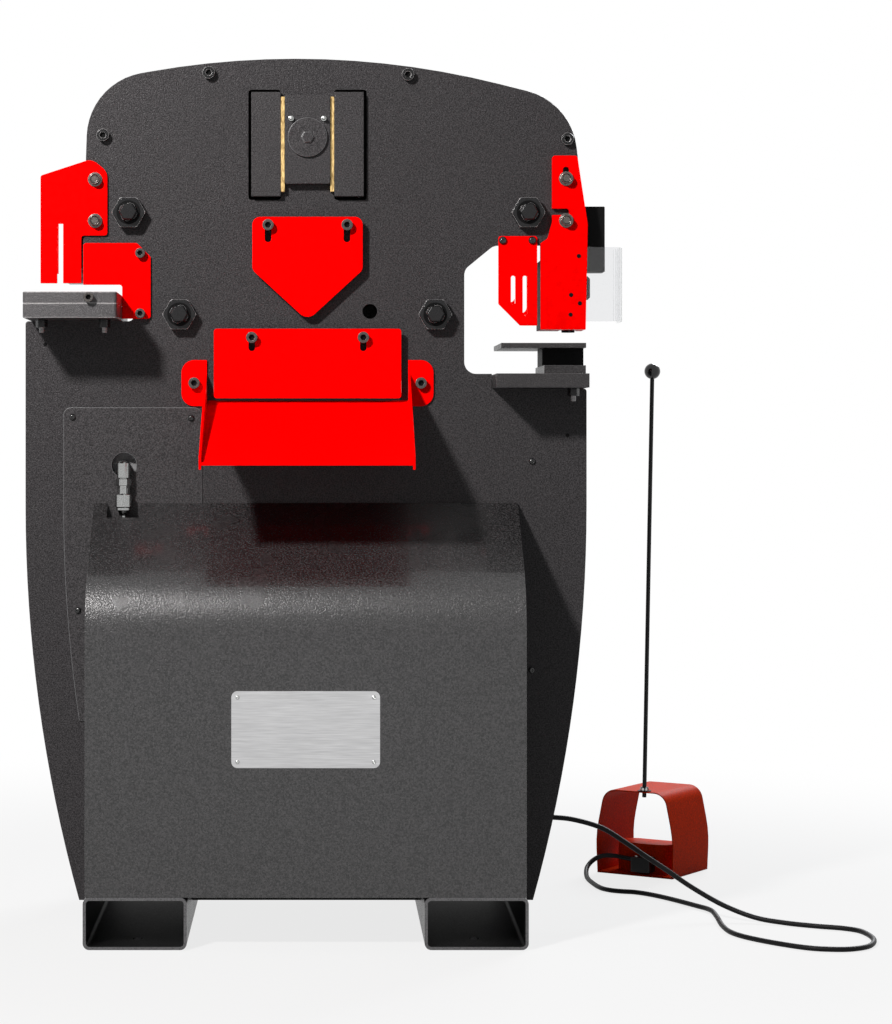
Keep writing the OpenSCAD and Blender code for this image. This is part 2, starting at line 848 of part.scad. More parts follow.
module access_panel() {
  color("#3a3938") standing(plate_y - panel_t, panel_t) difference() {
    polygon(rounded(concat(flank(-1, panel_inset, panel_low_z, flank_z),
      [[-plate_half_w + panel_inset, panel_top_z, panel_r], [panel_x1, panel_top_z, panel_r],
        [panel_x1, panel_low_z, 0]])));
    barrel_window();
    translate([port_x, port_z]) circle(d = port_hole_d);
  }
}

// Port for attachments: a block between the plates, an elbow and a hanging coupler
port_block_w = 90;
port_block_h = 80;
port_block_right = 24;
stub_d = 20;
elbow_out = 22;
elbow_y = plate_y - elbow_out;
elbow_d = 25;

module port_block() {
  color("#85888b") block(
    [port_x + port_block_right - port_block_w, plate_y + plate_t, port_z - port_block_h / 2],
    [port_x + port_block_right, plate_y + plate_t + plate_gap, port_z + port_block_h / 2]);
}

coupler_len = 108;
neck_d = 15;
tip_d = 10;
collar_nut_d = 29;
tip_share = 0.9;
nut_shares = [0.02, 0.25];
hex_shares = [0.36, 0.54];
collar_shares = [0.63, 0.84];

module port_fitting() {
  color("#bfc2c2") {
    bar_y(port_x, elbow_y, port_z, stub_d / 2, plate_y + plate_t - elbow_y);
    translate([port_x, elbow_y, port_z]) sphere(d = stub_d);
    translate([port_x, elbow_y, port_z]) rotate([180, 0, 0]) {
      cylinder(d = neck_d, h = coupler_len * tip_share);
      cylinder(d = tip_d, h = coupler_len);
      for (band = [nut_shares, hex_shares]) translate([0, 0, coupler_len * band[0]])
        cylinder(d = elbow_d, h = coupler_len * (band[1] - band[0]), $fn = 6);
      translate([0, 0, coupler_len * collar_shares[0]])
        cylinder(d = collar_nut_d, h = coupler_len * (collar_shares[1] - collar_shares[0]));
    }
  }
}

// NOTCHING STATION

notch_x = -436;
notch_table_x0 = -560;
notch_table_x1 = -374;
notch_reach = 163;
notch_back = 57;
notch_base_h = 29;
notch_die_h = 23;

module notch_layer(z0, h) {
  half_w = notch_w / 2 + die_gap;
  translate([0, 0, z0]) linear_extrude(h) difference() {
    polygon(rounded(
      box_corners(notch_table_x0, plate_y - notch_reach, notch_table_x1, back_y + notch_back, edge_r)));
    translate([notch_x - half_w, beam_y - die_gap]) square([2 * half_w, beam_t + 2 * die_gap]);
  }
}

module notch_table_base() {
  color("#3f3e3d") notch_layer(notch_seat_z, notch_base_h);
}

module notch_die() {
  color("#4a4948") notch_layer(notch_seat_z + notch_base_h, notch_die_h);
}

// Guard over the notching punch: a hanging plate with a sight slot
ng_left_x = -540;
ng_right_x = -404;
ng_step_x = -457;
ng_low_drop = 455;
ng_low_z = plate_h - ng_low_drop;
ng_step_drop = 358;
ng_step_z = plate_h - ng_step_drop;
ng_left_top_drop = 236;
ng_left_top_z = plate_h - ng_left_top_drop;
ng_top_drop = 202;
ng_top_z = plate_h - ng_top_drop;
ng_top_x = -436;
ng_r = 26;
ng_slot_x = -500;
ng_slot_w = 12;
ng_slot_drop = 334;
ng_slot_z = plate_h - ng_slot_drop;

module notch_guard_outline() {
  difference() {
    polygon(rounded([[ng_left_x, ng_low_z, 0], [ng_left_x, ng_left_top_z, edge_r], [ng_top_x, ng_top_z, ng_r],
      [ng_right_x, ng_top_z - ng_r, ng_r], [ng_right_x, ng_step_z, edge_r], [ng_step_x, ng_step_z, edge_r],
      [ng_step_x, ng_low_z, 0]]));
    translate([ng_slot_x - ng_slot_w / 2, ng_low_z - overrun])
      square([ng_slot_w, ng_slot_z - ng_low_z + overrun]);
  }
}

module notch_guard() {
  color("#d8141a") standing(plate_y - guard_t, guard_t) notch_guard_outline();
}

side_guard_x0 = -453;
side_guard_x1 = -316;
side_guard_low_drop = 527;
side_guard_z0 = plate_h - side_guard_low_drop;
side_guard_high_drop = 373;
side_guard_z1 = plate_h - side_guard_high_drop;
side_guard_in_x = -374;
side_guard_in_drop = 458;
side_guard_in_z = plate_h - side_guard_in_drop;
side_guard_cut = 28;

module notch_side_guard() {
  color("#d8141a") standing(plate_y - guard_t, guard_t) polygon(rounded([
    [side_guard_x0, side_guard_in_z, 0], [side_guard_x0, side_guard_z1, edge_r],
    [side_guard_x1 - side_guard_cut, side_guard_z1, edge_r],
    [side_guard_x1, side_guard_z1 - side_guard_cut, edge_r],
    [side_guard_x1, side_guard_z0, edge_r], [side_guard_in_x, side_guard_z0, 0],
    [side_guard_in_x, side_guard_in_z, edge_r]]));
}

// PUNCHING STATION

table_x0 = 379;
table_x1 = 564;
table_reach = 130;
table_base_h = 28;
slab_x0 = 480;
plate_x0 = 393;
slab_h = 18;
slab_half_d = 110;
holder_half_d = 60;
holder_h = 35;
top_half_d = 115;
top_t = 10;
slug_d = 36;
die_seat = 20;
die_proud = 3;
base_top_z = punch_seat_z + table_base_h;
holder_z = base_top_z + slab_h;
top_z = holder_z + holder_h;

module slug_bore(z0, z1, d) {
  translate([punch_x, mid_y, z0 - overrun]) cylinder(d = d, h = z1 - z0 + 2 * overrun);
}

module punch_table_base() {
  color("#3f3e3d") difference() {
    union() {
      block([table_x0, plate_y - table_reach, punch_seat_z], [table_x1, back_y + table_reach, base_top_z]);
      block([slab_x0, mid_y - slab_half_d, base_top_z], [table_x1, mid_y + slab_half_d, holder_z]);
    }
    slug_bore(punch_seat_z, holder_z, slug_d);
  }
}

module die_holder() {
  color("#2b2b2b") difference() {
    block([slab_x0, mid_y - holder_half_d, holder_z], [table_x1, mid_y + holder_half_d, top_z]);
    slug_bore(holder_z, top_z, slug_d);
    translate([punch_x, mid_y, top_z - die_seat]) cylinder(d = die_d + 2 * seat_gap, h = die_seat + overrun);
  }
}

module table_plate() {
  color("#6b6b6c") difference() {
    block([plate_x0, mid_y - top_half_d, top_z], [table_x1, mid_y + top_half_d, top_z + top_t]);
    slug_bore(top_z, top_z + top_t, die_d + 2 * seat_gap);
  }
}

module punch_die() {
  color("#8d9094") difference() {
    translate([punch_x, mid_y, top_z - die_seat]) cylinder(d = die_d, h = die_seat + top_t + die_proud);
    slug_bore(top_z - die_seat, top_z + top_t + die_proud, punch_d + 2 * die_gap);
  }
}

// Small guard with sight slots beside the punch
pg_x0 = 391;
pg_x1 = 470;
pg_low_drop = 541;
pg_z0 = plate_h - pg_low_drop;
pg_high_drop = 359;
pg_z1 = plate_h - pg_high_drop;
pg_cut = 44;
pg_slot_xs = [421, 445];
pg_slot_w = 9;
pg_slot_low_drops = [494, 516];
pg_slot_lows = [for (d = pg_slot_low_drops) plate_h - d];
pg_slot_top_drop = 444;
pg_slot_top = plate_h - pg_slot_top_drop;
pg_r = 5;

module punch_guard_outline() {
  difference() {
    polygon(rounded(concat([[pg_x0, pg_z0 + pg_cut, pg_r], [pg_x0, pg_z1, pg_r], [pg_x1, pg_z1, pg_r]],
      [[pg_x1, pg_z0, 0], [pg_x0 + pg_cut, pg_z0, pg_r]])));
    for (i = [0, 1]) slot(pg_slot_xs[i], pg_slot_lows[i], pg_slot_top, pg_slot_w);
  }
}

module punch_guard() {
  color("#d8141a") standing(plate_y - guard_t, guard_t) punch_guard_outline();
}

// The same two guards on the feed side, a little smaller and higher
rear_guard_in = 8;
rear_guard_up = 18;

module rear_guards() {
  color("#d8141a") standing(back_y, guard_t) translate([0, rear_guard_up]) offset(delta = -rear_guard_in) {
    notch_guard_outline();
    punch_guard_outline();
  }
}

// Stripper: a hanging bracket with a forked foot under the punch and a clear side guard
st_t = 12;
st_x0 = 476;
st_x1 = 568;
st_mid_x = 572;
st_mid_drop = 335;
st_mid_z = plate_h - st_mid_drop;
st_knee_x = 491;
st_knee_drop = 364;
st_knee_z = plate_h - st_knee_drop;
st_knee_r = 12;
st_wing_t = 6;
st_wing_h = 140;
st_neck_x = 500;
st_neck_drop = 330;
st_neck_z = plate_h - st_neck_drop;
st_top_x = 551;
st_top_drop = 196;
st_top_z = plate_h - st_top_drop;
st_low_drop = 549;
st_low_z = plate_h - st_low_drop;
st_arm_drop = 374;
st_arm_z = plate_h - st_arm_drop;
st_bolt_x = 528;
st_bolt_drops = [243, 328];
st_bolts = [for (d = st_bolt_drops) plate_h - d];
st_foot_back = 90;
st_foot_t = 10;
st_fork_d = 36;
clear_t = 4;
clear_x = 646;
clear_low_drop = 532;
clear_z0 = plate_h - clear_low_drop;
clear_high_drop = 381;
clear_z1 = plate_h - clear_high_drop;
clear_lap_x = 556;
clear_back = 104;
clear_r = 30;
shank_d = 12;

module stripper_bracket() {
  y0 = plate_y - slide_gap - st_t;
  color("#d8141a") difference() {
    union() {
      standing(y0, st_t) difference() {
        polygon(rounded([[st_x0, st_low_z, 0], [st_x0, st_arm_z, edge_r],
          [st_knee_x, st_knee_z, st_knee_r], [st_neck_x, st_neck_z, 0], [st_neck_x, st_top_z, edge_r],
          [st_top_x, st_top_z, edge_r], [st_mid_x, st_mid_z, 0], [st_x1, st_low_z, 0]]));
        for (z = st_bolts) slot(st_bolt_x, z, z + stripper_travel, slot_w);
        translate([st_neck_x - overrun, st_bolts[1] + stripper_travel - slot_w / 2])
          square([st_bolt_x - st_neck_x + overrun, slot_w]);
      }
      block([st_x0, y0, st_low_z], [st_x1, y0 + st_t + st_foot_back, st_low_z + st_foot_t]);
      block([st_x0, y0, st_low_z], [st_x0 + st_wing_t, y0 + st_t + st_foot_back, st_low_z + st_wing_h]);
    }
    translate([punch_x, mid_y, st_low_z - overrun]) cylinder(d = st_fork_d, h = st_foot_t + 2 * overrun);
    block([punch_x - st_fork_d / 2, mid_y, st_low_z - overrun],
      [punch_x + st_fork_d / 2, mid_y + st_foot_back, st_low_z + st_foot_t + overrun]);
  }
}

// Clear sheet bent round the side of the punch, from the bracket to the back
module clear_guard() {
  y0 = plate_y - slide_gap;
  color("#dfe8ec", 0.35) translate([0, 0, clear_z0]) linear_extrude(clear_z1 - clear_z0) difference() {
    polygon(rounded([[clear_lap_x, y0, 0], [clear_x, y0, clear_r], [clear_x, y0 + clear_back, 0],
      [clear_lap_x, y0 + clear_back, 0]]));
    polygon(rounded([[clear_lap_x - overrun, y0 + clear_t, 0],
      [clear_x - clear_t, y0 + clear_t, clear_r - clear_t],
      [clear_x - clear_t, y0 + clear_back + overrun, 0],
      [clear_lap_x - overrun, y0 + clear_back + overrun, 0]]));
  }
}

// SHEAR GUARDS AND CHUTE

guard_y = plate_y - standoff - guard_t;

sg_half_w = 112;
sg_top_drop = 321;
sg_top_z = plate_h - sg_top_drop;
sg_side_drop = 429;
sg_side_z = plate_h - sg_side_drop;
sg_tip_drop = 532;
sg_tip_z = plate_h - sg_tip_drop;
sg_top_r = 16;
sg_tip_r = 22;
sg_screw_x = 80;
sg_screw_drop = 338;
sg_screw_z = plate_h - sg_screw_drop;

module shield_guard() {
  color("#d8141a") standing(guard_y, guard_t) difference() {
    polygon(rounded([[station_x - sg_half_w, sg_top_z, sg_top_r], [station_x + sg_half_w, sg_top_z, sg_top_r],
      [station_x + sg_half_w, sg_side_z, sg_top_r], [station_x, sg_tip_z, sg_tip_r],
      [station_x - sg_half_w, sg_side_z, sg_top_r]]));
    for (side = [-1, 1]) slot(station_x + side * sg_screw_x, sg_screw_z - guard_travel, sg_screw_z, slot_w);
  }
}

fg_half_w = 190;
fg_top_drop = 548;
fg_top_z = plate_h - fg_top_drop;
fg_low_drop = 689;
fg_low_z = plate_h - fg_low_drop;
fg_screw_x = 113;
fg_screw_drop = 566;
fg_screw_z = plate_h - fg_screw_drop;

module flat_guard() {
  x0 = station_x - fg_half_w;
  color("#d8141a") standing(guard_y, guard_t) difference() {
    polygon(rounded(box_corners(x0, fg_low_z, x0 + 2 * fg_half_w, fg_top_z, edge_r)));
    for (side = [-1, 1]) slot(station_x + side * fg_screw_x, fg_screw_z - flat_travel, fg_screw_z, slot_w);
  }
}

chute_back_drop = 693;
chute_back_z = plate_h - chute_back_drop;
chute_front_drop = 818;
chute_front_z = plate_h - chute_front_drop;
chute_t = 5;
ear_w = 52;
ear_gap = 2;
ear_low_z = panel_top_z + ear_gap;
ear_top_drop = 611;
ear_top_z = plate_h - ear_top_drop;
ear_r = 26;
cheek_lip = 12;
cheek_tip = 8;

module chute() {
  half_w = chute_w / 2;
  front_y = plate_y - chute_reach;
  color("#d8141a") {
    along_x(station_x - half_w, chute_w) polygon([[plate_y, chute_back_z], [plate_y, chute_back_z - chute_t],
      [front_y, chute_front_z - chute_t], [front_y, chute_front_z]]);
    for (side = [-1, 1]) {
      x = station_x + side * (half_w + chute_t / 2);
      along_x(x - chute_t / 2, chute_t) polygon([[plate_y, ear_top_z - ear_r], [plate_y, ear_low_z],
        [front_y, chute_front_z - chute_t - cheek_tip], [front_y, chute_front_z + cheek_lip]]);
      outer = station_x + side * (half_w + ear_w);
      inner = station_x + side * half_w;
      standing(plate_y - chute_t, chute_t) polygon(rounded([[inner, ear_low_z, 0], [outer, ear_low_z, ear_r],
        [outer, ear_top_z, ear_r], [inner, ear_top_z, 0]]));
    }
  }
}

// FASTENERS OF THE GUARDS AND TABLES

cap_screw_d = 23;
cap_screw_h = 13;
collar_d = 22;
die_screw_d = 20;
side_screw_in = 21;

// Shoulder screw on which a guard slides: collar, shoulder and head
module shoulder_screw(x, z) {
  bar_y(x, plate_y - standoff + slide_gap, z, collar_d / 2, standoff - slide_gap);
  bar_y(x, guard_y - slide_gap, z, shank_d / 2, guard_t + 2 * slide_gap);
  socket_y(x, guard_y - slide_gap, z, cap_screw_d, cap_screw_h);
}

module guard_screws() {
  color("#26262a") {
    for (side = [-1, 1]) {
      shoulder_screw(station_x + side * sg_screw_x, sg_screw_z);
      shoulder_screw(station_x + side * fg_screw_x, fg_screw_z);
      ear_x = station_x + side * (chute_w + ear_w) / 2;
      socket_y(ear_x, plate_y - chute_t, (ear_low_z + ear_top_z) / 2, cap_screw_d, cap_screw_h);
    }
    side_x = side_guard_x1 - side_screw_in;
    for (z = [side_guard_z0 + side_screw_in / 2, side_guard_z1 - side_screw_in])
      socket_y(side_x, plate_y - guard_t, z, die_screw_d, cap_screw_h);
    socket_y(ng_bolt_x, plate_y - notch_reach, notch_seat_z + notch_base_h + notch_die_h / 2,
      die_screw_d, cap_screw_h);
  }
}

flange_d = 29;
flange_t = 3;
bolt_af = 20;
bolt_h = 11;
ng_bolt_x = -429;
ng_bolt_drops = [244, 328];
ng_bolts = [for (d = ng_bolt_drops) plate_h - d];
under_bolt_h = 16;
under_bolt_in = 30;
under_bolt_af = 24;

module flange_bolt(x, y, z) {
  bar_y(x, y - flange_t, z, flange_d / 2, flange_t);
  hex_y(x, y - flange_t, z, bolt_af, bolt_h);
}

module under_bolt(x, y, z) {
  translate([x, y, z - under_bolt_h]) cylinder(d = under_bolt_af, h = under_bolt_h, $fn = 6);
}

module hex_bolts() {
  color("#2f3033") {
    for (z = ng_bolts) flange_bolt(ng_bolt_x, plate_y - guard_t, z);
    for (z = st_bolts) {
      flange_bolt(st_bolt_x, plate_y - 2 * slide_gap - st_t, z);
      bar_y(st_bolt_x, plate_y - 2 * slide_gap - st_t, z, shank_d / 2, st_t + 2 * slide_gap);
    }
    for (x = [notch_table_x0 + under_bolt_in, notch_table_x1 - under_bolt_in])
      under_bolt(x, plate_y - notch_reach / 2, notch_seat_z);
    under_bolt(punch_x, plate_y - table_reach / 2, punch_seat_z);
  }
}

// FOOT PEDAL

pedal_x = 797;
pedal_y = 562;
pedal_turn = -33.6;

module pedal_place() {
  translate([pedal_x, pedal_y, 0]) rotate([0, 0, pedal_turn]) children();
}

bulge = 4;
bulge_share = 0.45;
bulge_r = 260;
hood_top_w = 154;
hood_r = 34;
base_t = 4;

function hood_corners(i, over) = [
  [-hood_w / 2 + i, -over, 0], [-hood_w / 2 - bulge + i, hood_h * bulge_share, bulge_r],
  [-hood_top_w / 2 + i, hood_h - i, hood_r - i], [hood_top_w / 2 - i, hood_h - i, hood_r - i],
  [hood_w / 2 + bulge - i, hood_h * bulge_share, bulge_r], [hood_w / 2 - i, -over, 0]];

// Foot of the carrying rod on the hood, in the pedal's own frame
wand_x = 18;
wand_in = 14;
wand_lean = 1.2;
wand_below = 14;
wand_nut_af = 17;
wand_nut_h = 9;

module pedal_hood() {
  color("#a8321c") pedal_place() difference() {
    standing(-hood_d / 2, hood_d) difference() {
      polygon(rounded(hood_corners(0, 0)));
      polygon(rounded(hood_corners(hood_t, overrun)));
    }
    translate([wand_x, wand_in - hood_d / 2, hood_h]) rotate([0, wand_lean, 0])
      cylinder(d = wand_d + 2 * slide_gap, h = 4 * hood_t, center = true);
  }
}

module pedal_base() {
  color("#a8321c") pedal_place() linear_extrude(base_t)
    square([hood_w - 2 * hood_t, hood_d], center = true);
}

housing_w = 140;
housing_y0 = -60;
housing_y1 = 15;
housing_h = 70;
housing_r = 34;
ear_x = 62;
hinge_ear_t = 7;
hinge_y = 28;
hinge_z = 54;
hinge_r = 4;
hinge_ear_r = 9;
barrel_r = 8;

module pedal_housing() {
  color("#a8321c") pedal_place() difference() {
    union() {
      translate([0, 0, base_t]) linear_extrude(housing_h - base_t) polygon(rounded(
        box_corners(-housing_w / 2, housing_y0, housing_w / 2, housing_y1, housing_r)));
      for (side = [-1, 1]) {
        x = side * ear_x - hinge_ear_t / 2;
        block([x, 0, hinge_z - hinge_ear_r], [x + hinge_ear_t, hinge_y, hinge_z + hinge_ear_r]);
        translate([x, hinge_y, hinge_z]) rotate([0, 90, 0]) cylinder(r = hinge_ear_r, h = hinge_ear_t);
      }
    }
    translate([-housing_w / 2, hinge_y, hinge_z]) rotate([0, 90, 0])
      cylinder(r = hinge_r + seat_gap, h = housing_w);
  }
}

module treadle_pin() {
  l = 2 * ear_x + hinge_ear_t;
  color("#77797c") pedal_place() translate([-l / 2, hinge_y, hinge_z]) rotate([0, 90, 0])
    cylinder(r = hinge_r, h = l);
}

treadle_w = 110;
treadle_t = 4;
treadle_tip_y = 86;
treadle_tip_z = 46;

module treadle() {
  half_t = treadle_t / 2;
  color("#1c1c1d") pedal_place() difference() {
    union() {
      along_x(-treadle_w / 2, treadle_w) polygon([
        [hinge_y, hinge_z - half_t], [treadle_tip_y, treadle_tip_z - half_t],
        [treadle_tip_y, treadle_tip_z + half_t], [hinge_y, hinge_z + half_t]]);
      translate([-treadle_w / 2, hinge_y, hinge_z]) rotate([0, 90, 0]) cylinder(r = barrel_r, h = treadle_w);
    }
    translate([-treadle_w, hinge_y, hinge_z]) rotate([0, 90, 0])
      cylinder(r = hinge_r + seat_gap, h = 2 * treadle_w);
  }
}

// Black cable box at the back of the switch housing
relief_x = 13;
relief_w = 48;
relief_d = 32;
relief_z0 = 9;
relief_z1 = 42;
relief_r = 4;

module strain_relief() {
  color("#161617") pedal_place() translate([0, 0, relief_z0]) linear_extrude(relief_z1 - relief_z0)
    polygon(rounded(box_corners(relief_x - relief_w / 2, housing_y0 - relief_d,
      relief_x + relief_w / 2, housing_y0, relief_r)));
}

module pedal_rod() {
  color("#1a1a1b") pedal_place() translate([wand_x, wand_in - hood_d / 2, hood_h]) rotate([0, wand_lean, 0]) {
    translate([0, 0, -wand_below]) cylinder(d = wand_d, h = wand_len + wand_below);
    translate([0, 0, slide_gap]) cylinder(d = wand_nut_af / cos(30), h = wand_nut_h, $fn = 6);
  }
}

ball_d = 36;

module rod_ball() {
  ball_in = ball_d / 4;
  color("#141415") pedal_place() translate([wand_x, wand_in - hood_d / 2, hood_h]) rotate([0, wand_lean, 0])
    difference() {
      translate([0, 0, wand_len + ball_d / 2 - ball_in]) sphere(d = ball_d);
      cylinder(d = wand_d, h = wand_len);
    }
}

// PEDAL CORD

gland_len = 36;
gland_af = 24;
gland_nut_share = 0.3;
gland_tip_share = 1.4;
cord_sides = 10;
cord_steps = 2;

module cord_gland() {
  color("#1b1b1c") translate([cover_w / 2 - sheet, gland_y, gland_z]) rotate([0, 90, 0]) {
    cylinder(d = gland_d - 2 * seat_gap, h = sheet);
    translate([0, 0, sheet]) cylinder(d = gland_af / cos(30), h = gland_len * gland_nut_share, $fn = 6);
    translate([0, 0, sheet]) cylinder(d1 = gland_af, d2 = cord_d * gland_tip_share, h = gland_len);
  }
}

// Route from the gland behind the right plate to the cable box of the pedal
relief_side_x = relief_x - relief_w / 2;
cord_in = 10;
cord_end_z = 36;
cord_straight = 24;
join_gap = 0.2;
cord_end = pedal_point([relief_side_x - join_gap, housing_y0 - relief_d + cord_in, cord_end_z]);
cord_lead = pedal_point([relief_side_x - cord_straight, housing_y0 - relief_d + cord_in, cord_end_z]);
function pedal_point(p) = [pedal_x + p[0] * cos(pedal_turn) - p[1] * sin(pedal_turn),
  pedal_y + p[0] * sin(pedal_turn) + p[1] * cos(pedal_turn), p[2]];

lie = cord_d / 2;
cord_start_x = cover_w / 2 + gland_len + join_gap;
cord_route = [
  [cord_start_x, gland_y, gland_z], [cord_start_x + 2 * cord_straight, gland_y, gland_z],
  [560, -55, 203], [615, -60, 187], [660, -65, 160], [704, -66, 130], [748, -68, 101], [800, -74, 66],
  [862, -90, 32], [924, -118, 11], [980, -150, lie], [1035, -185, lie], [1090, -212, lie], [1119, -250, lie],
  [1126, -330, lie], [1106, -398, lie], [1071, -432, lie], [1028, -440, lie], [972, -420, lie],
  [900, -345, lie], [858, -270, lie], [848, -185, lie], [852, -70, lie], [850, 5, lie], [826, 60, lie],
  [786, 138, lie], [748, 200, lie], [716, 236, lie], [688, 239, lie], [664, 250, lie], [647, 284, lie],
  [638, 350, lie], [632, 425, 7], [638, 492, 18],
  [659, 512, 40], [681, 521, 48], [705, 519, 44], cord_lead, cord_end];

function spline(p, i, t) =
  let (n = len(p) - 1)
  let (a = p[i], b = p[i + 1])
  let (u = i == 0 ? b - a : (b - p[i - 1]) / 2, v = i + 1 == n ? b - a : (p[i + 2] - a) / 2)
  a * (2 * t * t * t - 3 * t * t + 1) + u * (t * t * t - 2 * t * t + t)
    + b * (3 * t * t - 2 * t * t * t) + v * (t * t * t - t * t);
function spline_points(p, steps) = concat(
  [for (i = [0:len(p) - 2], k = [0:steps - 1]) spline(p, i, k / steps)], [p[len(p) - 1]]);

module tube(p, d, sides) {
  n = len(p);
  dirs = [for (i = [0:n - 1]) unit(p[min(i + 1, n - 1)] - p[max(i - 1, 0)])];
  points = [for (i = [0:n - 1])
    let (s = unit(cross(dirs[i], [0, 0, 1])), u = cross(s, dirs[i]))
    for (k = [0:sides - 1]) p[i] + d / 2 * (s * cos(360 * k / sides) + u * sin(360 * k / sides))];
  walls = [for (i = [0:n - 2], k = [0:sides - 1])
    let (a = i * sides + k, b = i * sides + (k + 1) % sides)
    each [[a, b, b + sides], [a, b + sides, a + sides]]];
  ends = [[for (k = [0:sides - 1]) sides - 1 - k], [for (k = [0:sides - 1]) (n - 1) * sides + k]];
  polyhedron(points, concat(walls, ends));
}

module pedal_cord() {
  color("#1d1d1f") tube(spline_points(cord_route, cord_steps), cord_d, cord_sides);
}

fork_tube_left();
fork_tube_right();
front_plate();
rear_plate();
spacer_tubes();
tie_studs();
tie_nuts();
top_cover();
plate_screws();
gib_blocks();
gib_strips();
front_cover();
rear_cover();
access_panel();
cylinder_barrel();
cylinder_pin();
reservoir();
motor();
pump();
valve_block();
port_block();
port_fitting();
flat_blade_lower();
angle_blade_lower();
notch_table_base();
notch_die();
notch_guard();
notch_side_guard();
punch_table_base();
die_holder();
table_plate();
punch_die();
punch_guard();
rear_guards();
chute();
guard_screws();
hex_bolts();
cord_gland();
pedal_base();
pedal_hood();
pedal_housing();
treadle_pin();
treadle();
strain_relief();
pedal_rod();
rod_ball();
pedal_cord();
beam();
main_pin();
slide_blocks();
pin_caps();
flat_blade_upper();
angle_blade_upper();
punch_holder();
notch_punch();
piston_rod();
shield_guard();
flat_guard();
stripper_bracket();
clear_guard();
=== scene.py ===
# Ironworker: a hydraulic punching, shearing and notching machine on fork tubes, with a foot pedal
# on a cord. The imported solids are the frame. This script gives every piece its finish and adds
# the small screws, fittings and trim. Metres, in the frame of the solids.

import math

import bmesh
import bpy
from mathutils import Matrix, Vector


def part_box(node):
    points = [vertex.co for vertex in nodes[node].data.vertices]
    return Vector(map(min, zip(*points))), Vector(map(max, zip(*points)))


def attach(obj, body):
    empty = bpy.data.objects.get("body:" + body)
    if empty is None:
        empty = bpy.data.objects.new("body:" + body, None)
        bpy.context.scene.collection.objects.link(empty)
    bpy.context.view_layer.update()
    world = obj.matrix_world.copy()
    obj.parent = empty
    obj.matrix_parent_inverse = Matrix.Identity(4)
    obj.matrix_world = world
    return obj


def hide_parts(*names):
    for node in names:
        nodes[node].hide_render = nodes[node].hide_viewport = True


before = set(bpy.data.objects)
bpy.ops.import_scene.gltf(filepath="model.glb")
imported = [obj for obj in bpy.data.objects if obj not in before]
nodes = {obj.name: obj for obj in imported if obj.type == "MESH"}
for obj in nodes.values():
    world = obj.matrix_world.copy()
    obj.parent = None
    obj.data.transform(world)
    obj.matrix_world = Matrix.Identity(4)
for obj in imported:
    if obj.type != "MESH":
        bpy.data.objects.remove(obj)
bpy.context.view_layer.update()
scene = bpy.context.scene
scene.view_settings.view_transform = "Standard"

# CAMERA
# A long lens stands level in front of the machine's middle, where the fork tubes and tables show
# their inner sides. The picture is shifted to the right to take in the pedal.
camera_data = bpy.data.cameras.new("photo_camera")
camera_data.lens = 96.68
camera_data.shift_x = 0.128
camera_data.shift_y = -0.074
camera_data.clip_end = 60
camera = bpy.data.objects.new("photo_camera", camera_data)
camera.location = (0.018, -5.782, 1.002)
camera.rotation_euler = (math.radians(90), 0, 0)
scene.collection.objects.link(camera)
scene.camera = camera

# FLOOR AND LIGHT
# White paper lies under the machine in a pale room, and both look white to the camera. A small key
# lamp high on the left front throws the shadows to the lower right. A wide lamp stands behind.
floor_reach = 30.0
floor_drop = 0.0005
floor_corners = ((-1, -1), (1, -1), (1, 1), (-1, 1))
floor_mesh = bpy.data.meshes.new("studio_floor")
floor_mesh.from_pydata(
    [(x * floor_reach, y * floor_reach, -floor_drop) for x, y in floor_corners],
    [],
    [(0, 1, 2, 3)],
)
floor = bpy.data.objects.new("studio_floor", floor_mesh)
scene.collection.objects.link(floor)

shadow_near = 1.0
shadow_far = 3.0
near_glow = 0.8
paper = bpy.data.materials.new("white_paper")
paper.use_nodes = True
tree = paper.node_tree
tree.nodes.clear()
paper_out = tree.nodes.new("ShaderNodeOutputMaterial")
paper_matte = tree.nodes.new("ShaderNodeBsdfDiffuse")
paper_matte.inputs["Color"].default_value = (0.45, 0.45, 0.45, 1)
paper_glow = tree.nodes.new("ShaderNodeEmission")
paper_glow.inputs["Strength"].default_value = 1.0
paper_seen = tree.nodes.new("ShaderNodeLightPath")
paper_place = tree.nodes.new("ShaderNodeTexCoord")
paper_reach = tree.nodes.new("ShaderNodeVectorMath")
paper_reach.operation = "LENGTH"
paper_fade = tree.nodes.new("ShaderNodeMapRange")
paper_fade.interpolation_type = "SMOOTHSTEP"
paper_fade.inputs["From Min"].default_value = shadow_near
paper_fade.inputs["From Max"].default_value = shadow_far
paper_fade.inputs["To Min"].default_value = near_glow
paper_fade.inputs["To Max"].default_value = 1.0
tree.links.new(paper_place.outputs["Object"], paper_reach.inputs[0])
tree.links.new(paper_reach.outputs["Value"], paper_fade.inputs["Value"])
paper_share = tree.nodes.new("ShaderNodeMath")
paper_share.operation = "MULTIPLY"
tree.links.new(paper_fade.outputs["Result"], paper_share.inputs[1])
paper_mix = tree.nodes.new("ShaderNodeMixShader")


def seen_rays(seen_tree, light_path):
    """One for a ray from the camera, off a glossy face or through a clear one, else zero."""
    total = light_path.outputs["Is Camera Ray"]
    for kind in ("Is Glossy Ray", "Is Transmission Ray"):
        larger = seen_tree.nodes.new("ShaderNodeMath")
        larger.operation = "MAXIMUM"
        seen_tree.links.new(total, larger.inputs[0])
        seen_tree.links.new(light_path.outputs[kind], larger.inputs[1])
        total = larger.outputs[0]
    return total


